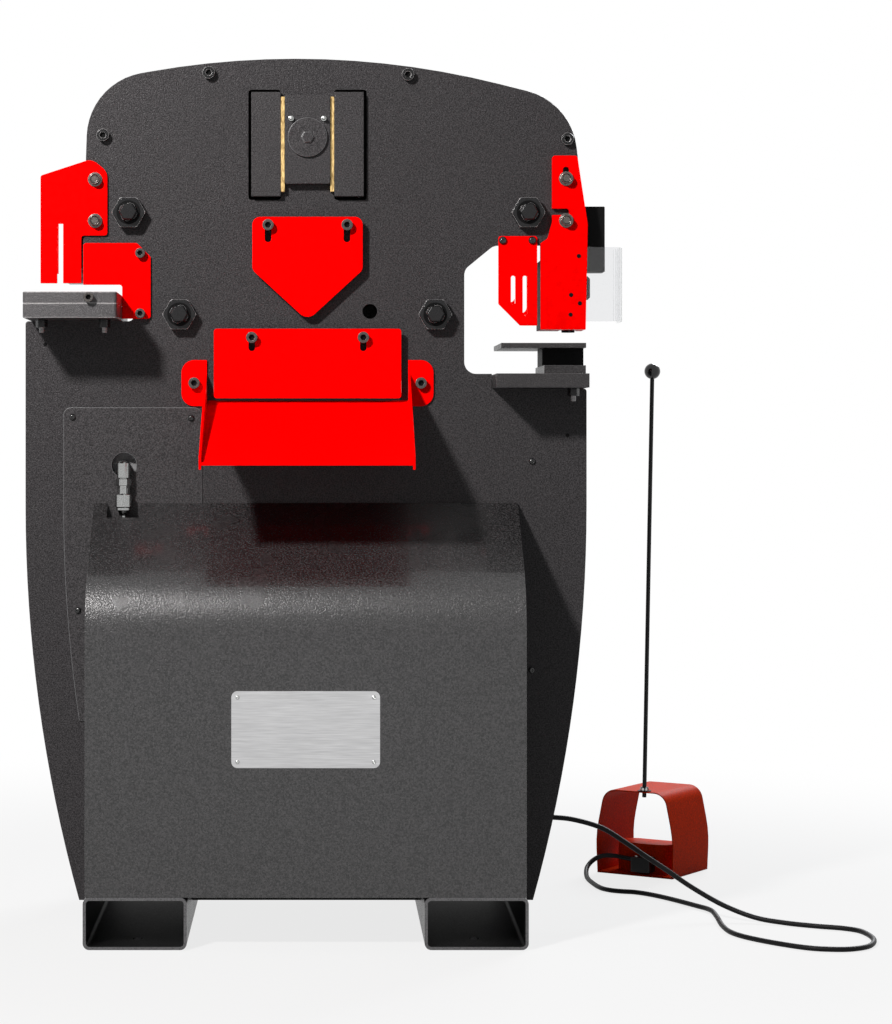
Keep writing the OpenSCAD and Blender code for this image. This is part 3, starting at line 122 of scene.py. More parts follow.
tree.links.new(seen_rays(tree, paper_seen), paper_share.inputs[0])
tree.links.new(paper_share.outputs[0], paper_mix.inputs["Fac"])
tree.links.new(paper_matte.outputs[0], paper_mix.inputs[1])
tree.links.new(paper_glow.outputs[0], paper_mix.inputs[2])
tree.links.new(paper_mix.outputs[0], paper_out.inputs["Surface"])
floor_mesh.materials.append(paper)

room = bpy.data.worlds.new("pale_room")
room.use_nodes = True
tree = room.node_tree
tree.nodes.clear()
room_out = tree.nodes.new("ShaderNodeOutputWorld")
room_fill = tree.nodes.new("ShaderNodeBackground")
room_fill.inputs["Color"].default_value = (0.92, 0.95, 1.0, 1)
room_fill.inputs["Strength"].default_value = 0.07
room_white = tree.nodes.new("ShaderNodeBackground")
room_white.inputs["Color"].default_value = (1, 1, 1, 1)
room_seen = tree.nodes.new("ShaderNodeLightPath")
room_mix = tree.nodes.new("ShaderNodeMixShader")
tree.links.new(seen_rays(tree, room_seen), room_mix.inputs["Fac"])
tree.links.new(room_fill.outputs[0], room_mix.inputs[1])
tree.links.new(room_white.outputs[0], room_mix.inputs[2])
tree.links.new(room_mix.outputs[0], room_out.inputs["Surface"])
scene.world = room


def studio_lamp(name, place, target, size, watts, colour):
    lamp_data = bpy.data.lights.new(name, "AREA")
    lamp_data.size = size
    lamp_data.energy = watts
    lamp_data.color = colour
    lamp = bpy.data.objects.new(name, lamp_data)
    lamp.location = place
    lamp.rotation_euler = (Vector(target) - Vector(place)).to_track_quat("-Z", "Y").to_euler()
    scene.collection.objects.link(lamp)


studio_lamp(
    "key_lamp", place=(-2.0, -3.4, 3.5), target=(0, 0, 1.1), size=0.36, watts=310, colour=(1.0, 0.97, 0.96)
)
studio_lamp(
    "back_lamp", place=(2.5, 4.5, 4.0), target=(0, 0, 0.8), size=2.5, watts=420, colour=(0.95, 0.97, 1.0)
)

# FORK TUBES
# Two lengths of rectangular steel tube carry the machine and take the tines of a fork truck.
# They are cut square and coated in the charcoal hammered paint of the plates. Black primer inside them also
# paints the shade in there, and paint worn to the metal on the cut ends also paints highlights on their rims.


def set_inputs(shader, **values):
    for name, value in values.items():
        shader.inputs[name.replace("_", " ")].default_value = value


def new_finish(name):
    finish = bpy.data.materials.new(name)
    finish.use_nodes = True
    finish_tree = finish.node_tree
    shader = finish_tree.nodes["Principled BSDF"]
    place = finish_tree.nodes.new("ShaderNodeTexCoord")
    return finish, finish_tree, shader, place.outputs["Object"]


def speckle(finish_tree, place, scale, detail=3.0, rough=0.55):
    noise = finish_tree.nodes.new("ShaderNodeTexNoise")
    noise.inputs["Scale"].default_value = scale
    noise.inputs["Detail"].default_value = detail
    noise.inputs["Roughness"].default_value = rough
    finish_tree.links.new(place, noise.inputs["Vector"])
    return noise.outputs["Fac"]


def spread(finish_tree, value, low, high):
    """Maps the middle of a noise to values from low to high."""
    ramp = finish_tree.nodes.new("ShaderNodeMapRange")
    ramp.inputs["From Min"].default_value = 0.3
    ramp.inputs["From Max"].default_value = 0.7
    ramp.inputs["To Min"].default_value = low
    ramp.inputs["To Max"].default_value = high
    finish_tree.links.new(value, ramp.inputs["Value"])
    return ramp.outputs["Result"]


def two_tone(finish_tree, value, dark, light):
    ramp = finish_tree.nodes.new("ShaderNodeValToRGB")
    ramp.color_ramp.elements[0].position = 0.35
    ramp.color_ramp.elements[1].position = 0.68
    ramp.color_ramp.elements[0].color = (*dark, 1)
    ramp.color_ramp.elements[1].color = (*light, 1)
    finish_tree.links.new(value, ramp.inputs["Fac"])
    return ramp.outputs["Color"]


def raise_surface(finish_tree, shader, height, depth, edge=0.0):
    """Raises the grain of a finish, and rounds the look of sharp edges by the radius given."""
    bump = finish_tree.nodes.new("ShaderNodeBump")
    bump.inputs["Distance"].default_value = depth
    if edge:
        rounded = finish_tree.nodes.new("ShaderNodeBevel")
        rounded.samples = 4
        rounded.inputs["Radius"].default_value = edge
        finish_tree.links.new(rounded.outputs["Normal"], bump.inputs["Normal"])
    finish_tree.links.new(height, bump.inputs["Height"])
    finish_tree.links.new(bump.outputs["Normal"], shader.inputs["Normal"])


def hammered_paint(name, dark, light, grain, depth, rough, shine=0.16, coat=0.0, edge=0.0):
    """Paint that dries in cells: grain is their size and depth is how far they stand out."""
    patch_scale = 9.0
    finish, finish_tree, shader, place = new_finish(name)
    cells = speckle(finish_tree, place, 1 / grain, detail=2.0, rough=0.6)
    patches = speckle(finish_tree, place, patch_scale, detail=2.0)
    finish_tree.links.new(two_tone(finish_tree, cells, dark, light), shader.inputs["Base Color"])
    finish_tree.links.new(spread(finish_tree, patches, *rough), shader.inputs["Roughness"])
    raise_surface(finish_tree, shader, cells, depth, edge)
    set_inputs(shader, Specular_IOR_Level=shine, Coat_Weight=coat, Coat_Roughness=0.1)
    return finish


charcoal_paint = hammered_paint(
    "charcoal_hammered_paint",
    dark=(0.0154, 0.0146, 0.0152),
    light=(0.0575, 0.0546, 0.0568),
    grain=0.0026,
    depth=0.0010,
    rough=(0.27, 0.30),
    shine=0.09,
)


def dress(name, finish, edge=0.0012, rim=None):
    """Gives a solid its finish and breaks its sharp edges by a bevel in the rim's finish, if one is given: a
    lighter wear that also paints highlights on the edges.
    """
    sharp = math.radians(32)
    piece = nodes[name]
    mesh = piece.data
    mesh.materials.clear()
    mesh.materials.append(finish)
    if "custom_normal" in mesh.attributes:
        mesh.attributes.remove(mesh.attributes["custom_normal"])
    mesh.polygons.foreach_set("use_smooth", [True] * len(mesh.polygons))
    mesh.set_sharp_from_angle(angle=sharp)
    if edge:
        weld = piece.modifiers.new("weld", "WELD")
        weld.merge_threshold = 0.00002
        flat = piece.modifiers.new("flat_faces", "DECIMATE")
        flat.decimate_type = "DISSOLVE"
        flat.angle_limit = math.radians(0.4)
        flat.delimit = {"MATERIAL"}
        bevel = piece.modifiers.new("broken_edge", "BEVEL")
        bevel.width = edge
        bevel.segments = 2
        bevel.limit_method = "ANGLE"
        bevel.angle_limit = sharp
        bevel.harden_normals = True
        if rim:
            mesh.materials.append(rim)
            bevel.material = 1
    return piece


def steel_wear(name, dark, light, rough, shine, edge=0.0):
    """Steel under a thin skin that is worn in small spots."""
    spot_scale = 420.0
    pit_scale = 700.0
    pit_depth = 0.0002
    finish, finish_tree, shader, place = new_finish(name)
    wear = speckle(finish_tree, place, spot_scale, detail=4.0)
    finish_tree.links.new(two_tone(finish_tree, wear, dark, light), shader.inputs["Base Color"])
    finish_tree.links.new(spread(finish_tree, wear, *rough), shader.inputs["Roughness"])
    raise_surface(finish_tree, shader, speckle(finish_tree, place, pit_scale), pit_depth, edge)
    set_inputs(shader, Specular_IOR_Level=shine)
    return finish


# Near-black primer, which in hollows, holes and gaps also paints the shade there.
black_primer_and_shade = steel_wear(
    "black_primer_and_shade", dark=(0.002, 0.002, 0.0021), light=(0.005, 0.005, 0.0052), rough=(0.45, 0.6), shine=0.06
)
# A lighter finish for worn paint on edges, which also paints highlights on them.
edge_wear_and_highlight = steel_wear(
    "edge_wear_and_painted_highlight", dark=(0.06, 0.06, 0.062), light=(0.12, 0.12, 0.123), rough=(0.25, 0.35), shine=0.4
)
within_wall = 0.005
cut_end_depth = 0.001
for tube in ("fork_tube_left", "fork_tube_right"):
    piece = dress(tube, charcoal_paint, edge=0)
    piece.data.materials.append(black_primer_and_shade)
    piece.data.materials.append(edge_wear_and_highlight)
    low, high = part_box(tube)
    # Faces inside the tube take the black primer as painted shade, and the cut ends take the lighter edge
    # finish, which also paints highlights on them.
    for face in piece.data.polygons:
        corners = [piece.matrix_world @ piece.data.vertices[v].co for v in face.vertices]
        inside_x = all(low.x + within_wall < c.x < high.x - within_wall for c in corners)
        inside_z = all(low.z + within_wall < c.z < high.z - within_wall for c in corners)
        if inside_x and inside_z:
            face.material_index = 1
        elif max(c.y for c in corners) - min(c.y for c in corners) < cut_end_depth:
            face.material_index = 2

# SIDE PLATES
# Two thick flame-cut plates make the body of the machine. Their faces carry every station, and a
# rolled strip closes the crown between them. Two small screws and two black plugs sit in front.
for plate in ("front_plate", "rear_plate"):
    dress(plate, charcoal_paint, edge=0.0015)
dress("top_cover", charcoal_paint, edge=0)


def lathe(name, profile, place, towards, finish, body="frame", sides=32):
    """Turns a profile of (along, radius) points about a line that starts at place."""
    sharp = math.radians(35)
    mesh = bpy.data.meshes.new(name)
    shape = bmesh.new()
    angles = [2 * math.pi * i / sides for i in range(sides)]
    rings = []
    for along, radius in profile:
        ring = [shape.verts.new((radius * math.cos(a), radius * math.sin(a), along)) for a in angles]
        rings.append(ring)
    for low, high in zip(rings, rings[1:]):
        for i in range(sides):
            j = (i + 1) % sides
            shape.faces.new((low[i], low[j], high[j], high[i]))
    shape.faces.new(list(reversed(rings[0])))
    shape.faces.new(rings[-1])
    turn = Vector(towards).to_track_quat("Z", "Y").to_matrix().to_4x4()
    bmesh.ops.transform(shape, matrix=Matrix.Translation(place) @ turn, verts=shape.verts)
    bmesh.ops.recalc_face_normals(shape, faces=shape.faces)
    shape.to_mesh(mesh)
    shape.free()
    mesh.materials.append(finish)
    mesh.polygons.foreach_set("use_smooth", [True] * len(mesh.polygons))
    mesh.set_sharp_from_angle(angle=sharp)
    piece = bpy.data.objects.new(name, mesh)
    scene.collection.objects.link(piece)
    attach(piece, body)
    return piece


polished_screw = steel_wear(
    "polished_black_screw",
    dark=(0.004, 0.004, 0.0042),
    light=(0.012, 0.012, 0.0122),
    rough=(0.14, 0.2),
    shine=0.5,
)
screw_dome = (
    (0, 1.0),
    (0.25, 1.0),
    (0.45, 0.93),
    (0.62, 0.8),
    (0.74, 0.62),
    (0.78, 0.5),
    (0.66, 0.32),
    (0.3, 0.3),
    (0.3, 0.02),
)
facing_front = (0, -1, 0)


def button_screw(name, place, radius, towards=facing_front, finish=polished_screw):
    """A low round head with a dished drive, standing on the face at place."""
    profile = [(along * radius, across * radius) for along, across in screw_dome]
    return lathe(name, profile, place, towards, finish, sides=24)


plate_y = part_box("front_plate")[0].y
small_screw = 0.0065
plate_screws = ((0.460, 0.951), (0.459, 0.526))
for i, (x, z) in enumerate(plate_screws):
    button_screw(f"plate_screw_{i + 1}", (x, plate_y, z), small_screw)
plug = [(0, 0.0038), (0.0006, 0.0038)]
plug_places = ((-0.531, 1.189), (0.532, 1.004))
for i, (x, z) in enumerate(plug_places):
    lathe(f"plugged_hole_{i + 1}", plug, (x, plate_y, z), facing_front, black_primer_and_shade, sides=20)

# TIE STUDS, NUTS AND CROWN SCREWS
# Four long studs with spacer tubes and heavy hexagon nuts clamp the plates together, and cap screws hold the
# crown. Steel with a black oxide skin, worn brighter on the corners, where the brighter rim also paints
# highlights. A black ring on each nut paints the shade around the stud, and the drive holes of the crown
# screws are painted dark as painted shade. The studs have hexagon ends to hold them by.
oxide_steel = steel_wear(
    "black_oxide_steel",
    dark=(0.006, 0.006, 0.0063),
    light=(0.012, 0.012, 0.0126),
    rough=(0.18, 0.25),
    shine=0.25,
    edge=0.004,
)
# A brighter finish for worn corners, which also paints highlights on them.
rim_wear_and_highlight = steel_wear(
    "rim_wear_and_painted_highlight", dark=(0.15, 0.146, 0.146), light=(0.40, 0.39, 0.39), rough=(0.2, 0.3), shine=0.5
)
for piece, edge in (("tie_studs", 0.0014), ("tie_nuts", 0.0016), ("plate_screws", 0.0006)):
    dress(piece, oxide_steel, edge, rim_wear_and_highlight)
dress("spacer_tubes", oxide_steel, edge=0)


def separate_solids(piece):
    """Lists the faces of each separate solid in a piece, joined where their corners meet."""
    mesh = piece.data
    keys = [tuple(round(c, 5) for c in corner.co) for corner in mesh.vertices]
    group = {key: key for key in keys}

    def root(key):
        while group[key] != key:
            key = group[key]
        return key

    for face in mesh.polygons:
        first = root(keys[face.vertices[0]])
        for corner in face.vertices[1:]:
            group[root(keys[corner])] = first
    solids = {}
    for face in mesh.polygons:
        solids.setdefault(root(keys[face.vertices[0]]), []).append(face)
    return list(solids.values())


def solid_box(piece, faces):
    places = [piece.matrix_world @ piece.data.vertices[v].co for face in faces for v in face.vertices]
    return [Vector(pick(p[axis] for p in places) for axis in range(3)) for pick in (min, max)]


def paint_socket_shade(name, finish):
    """Gives the drive hole in every screw head of a piece a darker finish, as painted shade in the hole."""
    socket_share = 0.62
    piece = nodes[name]
    piece.data.materials.append(finish)
    socket = len(piece.data.materials) - 1
    for faces in separate_solids(piece):
        low, high = solid_box(piece, faces)
        middle = (low + high) / 2
        reach = socket_share * (high.x - low.x) / 2
        for face in faces:
            corners = [piece.matrix_world @ piece.data.vertices[v].co - middle for v in face.vertices]
            if max(math.hypot(c.x, c.z) for c in corners) < reach:
                face.material_index = socket


# The drive holes of the crown screws are painted dark as painted shade.
paint_socket_shade("plate_screws", black_primer_and_shade)

nut_low, nut_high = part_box("tie_nuts")
shade_ring_shares = ((0, 1.27), (0.0008, 1.24))
key_shares = ((0, 0.98), (0.0045, 0.98), (0.008, 0.86))
studs = nodes["tie_studs"]
for i, faces in enumerate(separate_solids(studs)):
    low, high = solid_box(studs, faces)
    centre = (low + high) / 2
    radius = (high.x - low.x) / 2
    ring = [(along, share * radius) for along, share in shade_ring_shares]
    key = [(along, share * radius) for along, share in key_shares]
    for where, nut_y, stud_y, away in (("front", nut_low.y, low.y, -1), ("rear", nut_high.y, high.y, 1)):
        outwards = (0, away, 0)
        # A thin black ring on each nut paints the shade between the nut and the stud end.
        lathe(f"painted_nut_shade_{where}_{i + 1}", ring, (centre.x, nut_y, centre.z), outwards, black_primer_and_shade)
        lathe(f"stud_key_{where}_{i + 1}", key, (centre.x, stud_y, centre.z), outwards, oxide_steel, sides=6)

# SLIDE
# The beam hangs on a thick pin that turns in a slide block on each face. The blocks run between
# brass strips held by painted gib blocks, and are greased through two small nipples.
part_paint = hammered_paint(
    "charcoal_part_paint",
    dark=(0.016, 0.0152, 0.0158),
    light=(0.062, 0.0589, 0.0610),
    grain=0.0026,
    depth=0.0008,
    rough=(0.26, 0.29),
    shine=0.14,
    edge=0.003,
)
for piece in ("gib_blocks", "slide_blocks"):
    dress(piece, part_paint, edge=0.0008)
# The rims of the pin caps take the lighter edge finish, which also paints highlights on them.
dress("pin_caps", part_paint, edge=0.0012, rim=edge_wear_and_highlight)


def drawn_metal(name, dark, light, rough, stretch, edge=0.0):
    """Bare metal with a grain that is finer along the axes where stretch is larger."""
    line_depth = 0.0001
    finish, finish_tree, shader, place = new_finish(name)
    grain = finish_tree.nodes.new("ShaderNodeMapping")
    grain.inputs["Scale"].default_value = stretch
    finish_tree.links.new(place, grain.inputs["Vector"])
    lines = speckle(finish_tree, grain.outputs["Vector"], 1.0, detail=4.0)
    finish_tree.links.new(two_tone(finish_tree, lines, dark, light), shader.inputs["Base Color"])
    finish_tree.links.new(spread(finish_tree, lines, *rough), shader.inputs["Roughness"])
    raise_surface(finish_tree, shader, lines, line_depth, edge)
    set_inputs(shader, Metallic=1.0)
    return finish


worn_brass = drawn_metal(
    "worn_brass", dark=(0.26, 0.16, 0.05), light=(0.72, 0.52, 0.22), rough=(0.3, 0.5), stretch=(500, 500, 90)
)
set_inputs(worn_brass.node_tree.nodes["Principled BSDF"], Metallic=0.6)
dress("gib_strips", worn_brass, edge=0.0006)
ground_steel = drawn_metal(
    "ground_tool_steel",
    dark=(0.36, 0.37, 0.38),
    light=(0.55, 0.56, 0.57),
    rough=(0.22, 0.4),
    stretch=(30, 700, 700),
)
dress("main_pin", ground_steel, edge=0.0008)

bright_zinc = drawn_metal(
    "bright_zinc",
    dark=(0.40, 0.41, 0.40),
    light=(0.50, 0.51, 0.50),
    rough=(0.16, 0.26),
    stretch=(700, 700, 700),
)
block_low, block_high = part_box("slide_blocks")
slide_x = (block_low.x + block_high.x) / 2
nipple_drop = 0.048
nipple_offset = 0.033
nipple_profile = (
    (0, 0.0052),
    (0.005, 0.0052),
    (0.0055, 0.0032),
    (0.009, 0.0032),
    (0.0105, 0.0040),
    (0.0135, 0.0030),
    (0.0145, 0.0012),
)
for hand, side in (("left", -1), ("right", 1)):
    for where, face_y, away in (("front", block_low.y, -1), ("rear", block_high.y, 1)):
        place = (slide_x + side * nipple_offset, face_y, block_high.z - nipple_drop)
        name = f"grease_nipple_{where}_{hand}"
        lathe(name, nipple_profile, place, (0, away, 0), bright_zinc, body="beam", sides=20)

# BEAM AND TOOLS
# One thick plate carries the punch, the notching punch and the upper blades. The beam is in black primer and
# its tools are ground steel. The lower blades sit in the plates, in black oxide, whose dark also paints the
# shade seen under the flat guard.
dress("beam", black_primer_and_shade, edge=0.0015)
dress("punch_holder", black_primer_and_shade, edge=0.0006)
for piece in ("flat_blade_upper", "angle_blade_upper", "notch_punch", "piston_rod"):
    dress(piece, ground_steel, edge=0.0006)
# The lower blades' dark oxide also paints the shade below the flat guard.
for piece in ("flat_blade_lower", "angle_blade_lower"):
    dress(piece, oxide_steel, edge=0.0006)

# POWER UNIT
# Oil tank, motor, pump and valve block stand on the fork tubes inside the rear cover, and the
# cylinder stands between the plates. Closed steel and iron housings in grey machine enamel.
grey_enamel = hammered_paint(
    "grey_enamel",
    dark=(0.15, 0.15, 0.155),
    light=(0.22, 0.22, 0.225),
    grain=0.004,
    depth=0.0003,
    rough=(0.35, 0.45),
)
for piece in ("cylinder_barrel", "cylinder_pin", "reservoir", "motor", "pump", "valve_block"):
    dress(piece, grey_enamel, edge=0.001)

# PORT AND COUPLER
# A block behind the access panel gives oil to attachments. An elbow, a nut, a ring and a sleeve,
# turned from steel and zinc plated, are screwed to it and hang in front of the panel.
dress("port_block", grey_enamel, edge=0.001)
coupler_zinc = drawn_metal(
    "coupler_zinc",
    dark=(0.26, 0.263, 0.26),
    light=(0.44, 0.445, 0.44),
    rough=(0.13, 0.2),
    stretch=(700, 700, 700),
)
dress("port_fitting", coupler_zinc, edge=0.0006)
port_low, port_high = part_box("port_fitting")
coupler_x = (port_low.x + port_high.x) / 2
coupler_y = port_low.y + (port_high.x - port_low.x) / 2
coupler_parts = (
    ("elbow", 32, 0, ((0, 0.006), (0.002, 0.010), (0.006, 0.0132), (0.035, 0.0132), (0.036, 0.0120))),
    ("nut", 6, 0.037, ((0, 0.0148), (0.001, 0.0158), (0.0135, 0.0158), (0.0145, 0.0148))),
    ("ring", 32, 0.055, ((0, 0.0100), (0.001, 0.0112), (0.012, 0.0112), (0.013, 0.0125))),
    ("sleeve", 18, 0.068, ((0, 0.0150), (0.002, 0.0168), (0.026, 0.0168), (0.030, 0.0128), (0.044, 0.0085))),
)
for part, sides, drop, profile in coupler_parts:
    place = (coupler_x, coupler_y, port_high.z - drop)
    lathe(f"coupler_{part}", profile, place, (0, 0, -1), coupler_zinc, sides=sides)

# COVERS, ACCESS PANEL AND PLAIN PLATE
# Bent sheet covers hide the cylinder in front and the power unit behind, in a smoother and
# glossier paint than the plates. A flat panel is screwed to the front plate beside them, and a
# plain brushed plate is riveted to the front cover.
cover_paint = hammered_paint(
    "charcoal_cover_paint",
    dark=(0.0005, 0.0005, 0.0005),
    light=(0.040, 0.0383, 0.0395),
    grain=0.0031,
    depth=0.0009,
    rough=(0.25, 0.28),
    shine=0.48,
    coat=0.44,
)
for piece in ("front_cover", "rear_cover"):
    dress(piece, cover_paint, edge=0.0005)
# The panel's rim takes the lighter edge finish, which also paints a highlight along it.
dress("access_panel", part_paint, edge=0.0014, rim=edge_wear_and_highlight)
panel_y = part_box("access_panel")[0].y
panel_screws = ((-0.475, 1.041), (-0.234, 1.039), (-0.464, 0.648))
for i, (x, z) in enumerate(panel_screws):
    button_screw(f"panel_screw_{i + 1}", (x, panel_y, z), small_screw)

plain_width = 0.29
plain_height = 0.15
plain_thick = 0.0015
plain_corner = 0.012
plain_z = 0.43
rivet_inset = 0.012
rivet_radius = 0.004
bright_sheet = drawn_metal(
    "brushed_sheet",
    dark=(0.46, 0.46, 0.465),
    light=(0.58, 0.58, 0.585),
    rough=(0.3, 0.42),
    stretch=(20, 900, 900),
)


def round_plate(name, width, height, thick, corner, place, finish):
    """A flat plate with round corners that faces the front."""
    corner_steps = 6
    outline = []
    for cx, cz, first in ((1, 1, 0), (-1, 1, 90), (-1, -1, 180), (1, -1, 270)):
        for step in range(corner_steps + 1):
            angle = math.radians(first + 90 * step / corner_steps)
            outline.append((
                cx * (width / 2 - corner) + corner * math.cos(angle),
                cz * (height / 2 - corner) + corner * math.sin(angle),
            ))
    count = len(outline)
    mesh = bpy.data.meshes.new(name)
    points = [(x, y, z) for y in (0, -thick) for x, z in outline]
    walls = [(i, (i + 1) % count, count + (i + 1) % count, count + i) for i in range(count)]
    back = tuple(reversed(range(count)))
    front = tuple(range(count, 2 * count))
    mesh.from_pydata(points, [], walls + [back, front])
    mesh.materials.append(finish)
    piece = bpy.data.objects.new(name, mesh)
    piece.location = place
    scene.collection.objects.link(piece)
    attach(piece, "frame")
    return piece


cover_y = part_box("front_cover")[0].y
plain_place = (0, cover_y, plain_z)
round_plate("plain_plate", plain_width, plain_height, plain_thick, plain_corner, plain_place, bright_sheet)
rivet_x = plain_width / 2 - rivet_inset
rivet_rise = plain_height / 2 - rivet_inset
for i, (sx, sz) in enumerate(((-1, -1), (1, -1), (-1, 1), (1, 1))):
    place = (sx * rivet_x, cover_y - plain_thick, plain_z + sz * rivet_rise)
    button_screw(f"plate_rivet_{i + 1}", place, rivet_radius, finish=bright_zinc)

# NOTCHING STATION
# A two-layer steel table is bolted on the left ledge, in dark hammered paint worn bright along its edges,
# where the brighter rim also paints highlights. One red sheet guard hangs over the notching punch and a
# second one is screwed on beside it.
table_paint = hammered_paint(
    "dark_table_paint",
    dark=(0.032, 0.0304, 0.0315),
    light=(0.077, 0.0735, 0.0758),
    grain=0.0022,
    depth=0.0010,
    rough=(0.28, 0.36),
    shine=0.3,
    edge=0.003,
)
for piece in ("notch_table_base", "notch_die"):
    dress(piece, table_paint, edge=0.0016, rim=rim_wear_and_highlight)


def gloss_paint(name, colour, darkest, grain, rough, shine):
    """Smooth paint with a few duller spots, as dark as the share given."""
    ripple_scale = 420.0
    ripple_depth = 0.00012
    finish, finish_tree, shader, place = new_finish(name)
    dust = speckle(finish_tree, place, 1 / grain)
    darker = tuple(darkest * c for c in colour)
    finish_tree.links.new(two_tone(finish_tree, dust, darker, colour), shader.inputs["Base Color"])
    finish_tree.links.new(spread(finish_tree, dust, *rough), shader.inputs["Roughness"])
    raise_surface(finish_tree, shader, speckle(finish_tree, place, ripple_scale), ripple_depth)
    set_inputs(shader, Specular_IOR_Level=shine)
    return finish


signal_red = gloss_paint(
    "signal_red_paint", (0.92, 0.0, 0.0), darkest=0.86, grain=0.016, rough=(0.3, 0.4), shine=0.015
)
guard_edge = 0.0008
for piece in ("notch_guard", "notch_side_guard"):
    dress(piece, signal_red, guard_edge)

# PUNCHING STATION
# A base and a thin top plate in dark paint, with a black die holder and a ground die, are bolted on the right
# ledge. Their edges take a lighter worn finish that also paints highlights. The red stripper hangs over them
# by two bolts. Its inner wing is painted black as painted shade, and it carries a bent clear sheet that
# guards the side of the punch. Black discs on its face paint the shade in its holes.
ledge_paint = hammered_paint(
    "dark_ledge_paint",
    dark=(0.018, 0.0171, 0.0176),
    light=(0.044, 0.0418, 0.0430),
    grain=0.0022,
    depth=0.0010,
    rough=(0.28, 0.36),
    shine=0.2,
    edge=0.003,
)
# The table edges take the lighter edge finish, which also paints highlights on them.
for piece in ("punch_table_base", "table_plate"):
    dress(piece, ledge_paint, edge=0.0016, rim=edge_wear_and_highlight)
dress("die_holder", black_primer_and_shade, edge=0.0008)
dress("punch_die", ground_steel, edge=0.0005)

dress("punch_guard", signal_red, guard_edge)
guard_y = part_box("punch_guard")[0].y
guard_screw_z = 1.400
guard_screw = 0.008
for i, x in enumerate((0.400, 0.460)):
    button_screw(f"punch_guard_screw_{i + 1}", (x, guard_y, guard_screw_z), guard_screw)

stripper = dress("stripper_bracket", signal_red, guard_edge)
# The left wing of the stripper takes black primer, which paints the shade that falls on it.
stripper.data.materials.append(black_primer_and_shade)
bracket_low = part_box("stripper_bracket")[0]
wing_margin = 0.0005
wing_face = bracket_low.x + wing_margin
for face in stripper.data.polygons:
    corners = [stripper.matrix_world @ stripper.data.vertices[v].co for v in face.vertices]
    if all(c.x < wing_face for c in corners):
        face.material_index = 1
# Thin black discs on the stripper's face paint the shade inside its bolt holes.
bracket_hole_shade = [(0, 0.0042), (0.0006, 0.0042)]
bracket_holes = ((0.554, 1.368), (0.538, 1.289), (0.556, 1.272), (0.537, 1.249))
for i, (x, z) in enumerate(bracket_holes):
    place = (x, bracket_low.y, z)
    lathe(f"bracket_hole_shade_{i + 1}", bracket_hole_shade, place, facing_front, black_primer_and_shade, body="stripper", sides=20)

wave_scale = 25.0
wave_depth = 0.00003
clear_sheet, clear_tree, clear_shader, clear_place = new_finish("clear_sheet")
set_inputs(
    clear_shader, Base_Color=(0.83, 0.835, 0.845, 1), Roughness=0.02, IOR=1.45, Transmission_Weight=1.0
)
raise_surface(clear_tree, clear_shader, speckle(clear_tree, clear_place, wave_scale), wave_depth)
dress("clear_guard", clear_sheet, edge=0)

# SHEAR GUARDS AND CHUTE
# The pointed guard of the angle shear and the wide guard of the flat shear are red sheet and slide
# on shoulder screws. A bent chute below them carries the cut pieces away. Fixed guards of the same
# sheet stand on the feed side.
for piece in ("shield_guard", "flat_guard", "chute", "rear_guards"):
    dress(piece, signal_red, guard_edge)

# FASTENERS
# Socket screws hold the guards, their black skin worn to brown. Zinc-plated flanged bolts with
# dished heads hold the notching guard and the stripper. Black nuts sit under the tables, with the
# thread ends of their bolts below them.
worn_steel = steel_wear(
    "worn_black_steel",
    dark=(0.030, 0.027, 0.025),
    light=(0.075, 0.067, 0.062),
    rough=(0.2, 0.3),
    shine=0.4,
    edge=0.002,
)
dress("guard_screws", worn_steel, edge=0.0006)
# The drive holes of the guard screws are painted dark as painted shade.
paint_socket_shade("guard_screws", black_primer_and_shade)
dull_zinc = drawn_metal(
    "dull_zinc",
    dark=(0.085, 0.074, 0.067),
    light=(0.165, 0.147, 0.136),
    rough=(0.22, 0.34),
    stretch=(600, 600, 600),
    edge=0.003,
)
# The rims of the bolt heads take the brighter worn finish, which also paints highlights on them.
hex_bolts = dress("hex_bolts", dull_zinc, edge=0.0008, rim=rim_wear_and_highlight)
hex_bolts.data.materials.append(oxide_steel)
black_bolt = len(hex_bolts.data.materials) - 1
flat_share = 0.8
thread_end = [(0, 0.0052), (0.009, 0.0052), (0.0105, 0.004)]
dish_shares = ((0, 0.74), (0.0024, 0.71), (0.0030, 0.66), (0.0024, 0.60), (0.0004, 0.55))
for i, faces in enumerate(separate_solids(hex_bolts)):
    low, high = solid_box(hex_bolts, faces)
    centre = (low + high) / 2
    hangs_under_table = high.z - low.z < flat_share * (high.x - low.x)
    if hangs_under_table:
        for face in faces:
            face.material_index = black_bolt
        place = (centre.x, centre.y, low.z)
        # The thread ends take the same brighter finish, which also paints highlights on them.
        lathe(f"bolt_end_{i + 1}", thread_end, place, (0, 0, -1), rim_wear_and_highlight, sides=20)
    else:
        head = (high.x - low.x) / 2
        dish = [(along, share * head) for along, share in dish_shares]
        lathe(f"bolt_dish_{i + 1}", dish, (centre.x, low.y, centre.z), facing_front, dull_zinc, sides=28)

# FOOT PEDAL
# A bent sheet hood stands over a base and a switch housing, in dull red paint, and a black moulded treadle
# turns on a pin in the housing. Its red is written brighter than the paint, as painted light on sides that
# stand in the machine's shade. A black carrying rod with a polished ball is screwed to the hood with a washer
# and a nut.
pedal_red_with_painted_light = gloss_paint(
    "pedal_red_paint", (0.76, 0.036, 0.0), darkest=0.6, grain=0.004, rough=(0.34, 0.46), shine=0.014
)
for piece in ("pedal_base", "pedal_hood", "pedal_housing"):
    dress(piece, pedal_red_with_painted_light, edge=0.0006)
dress("treadle_pin", ground_steel, edge=0)


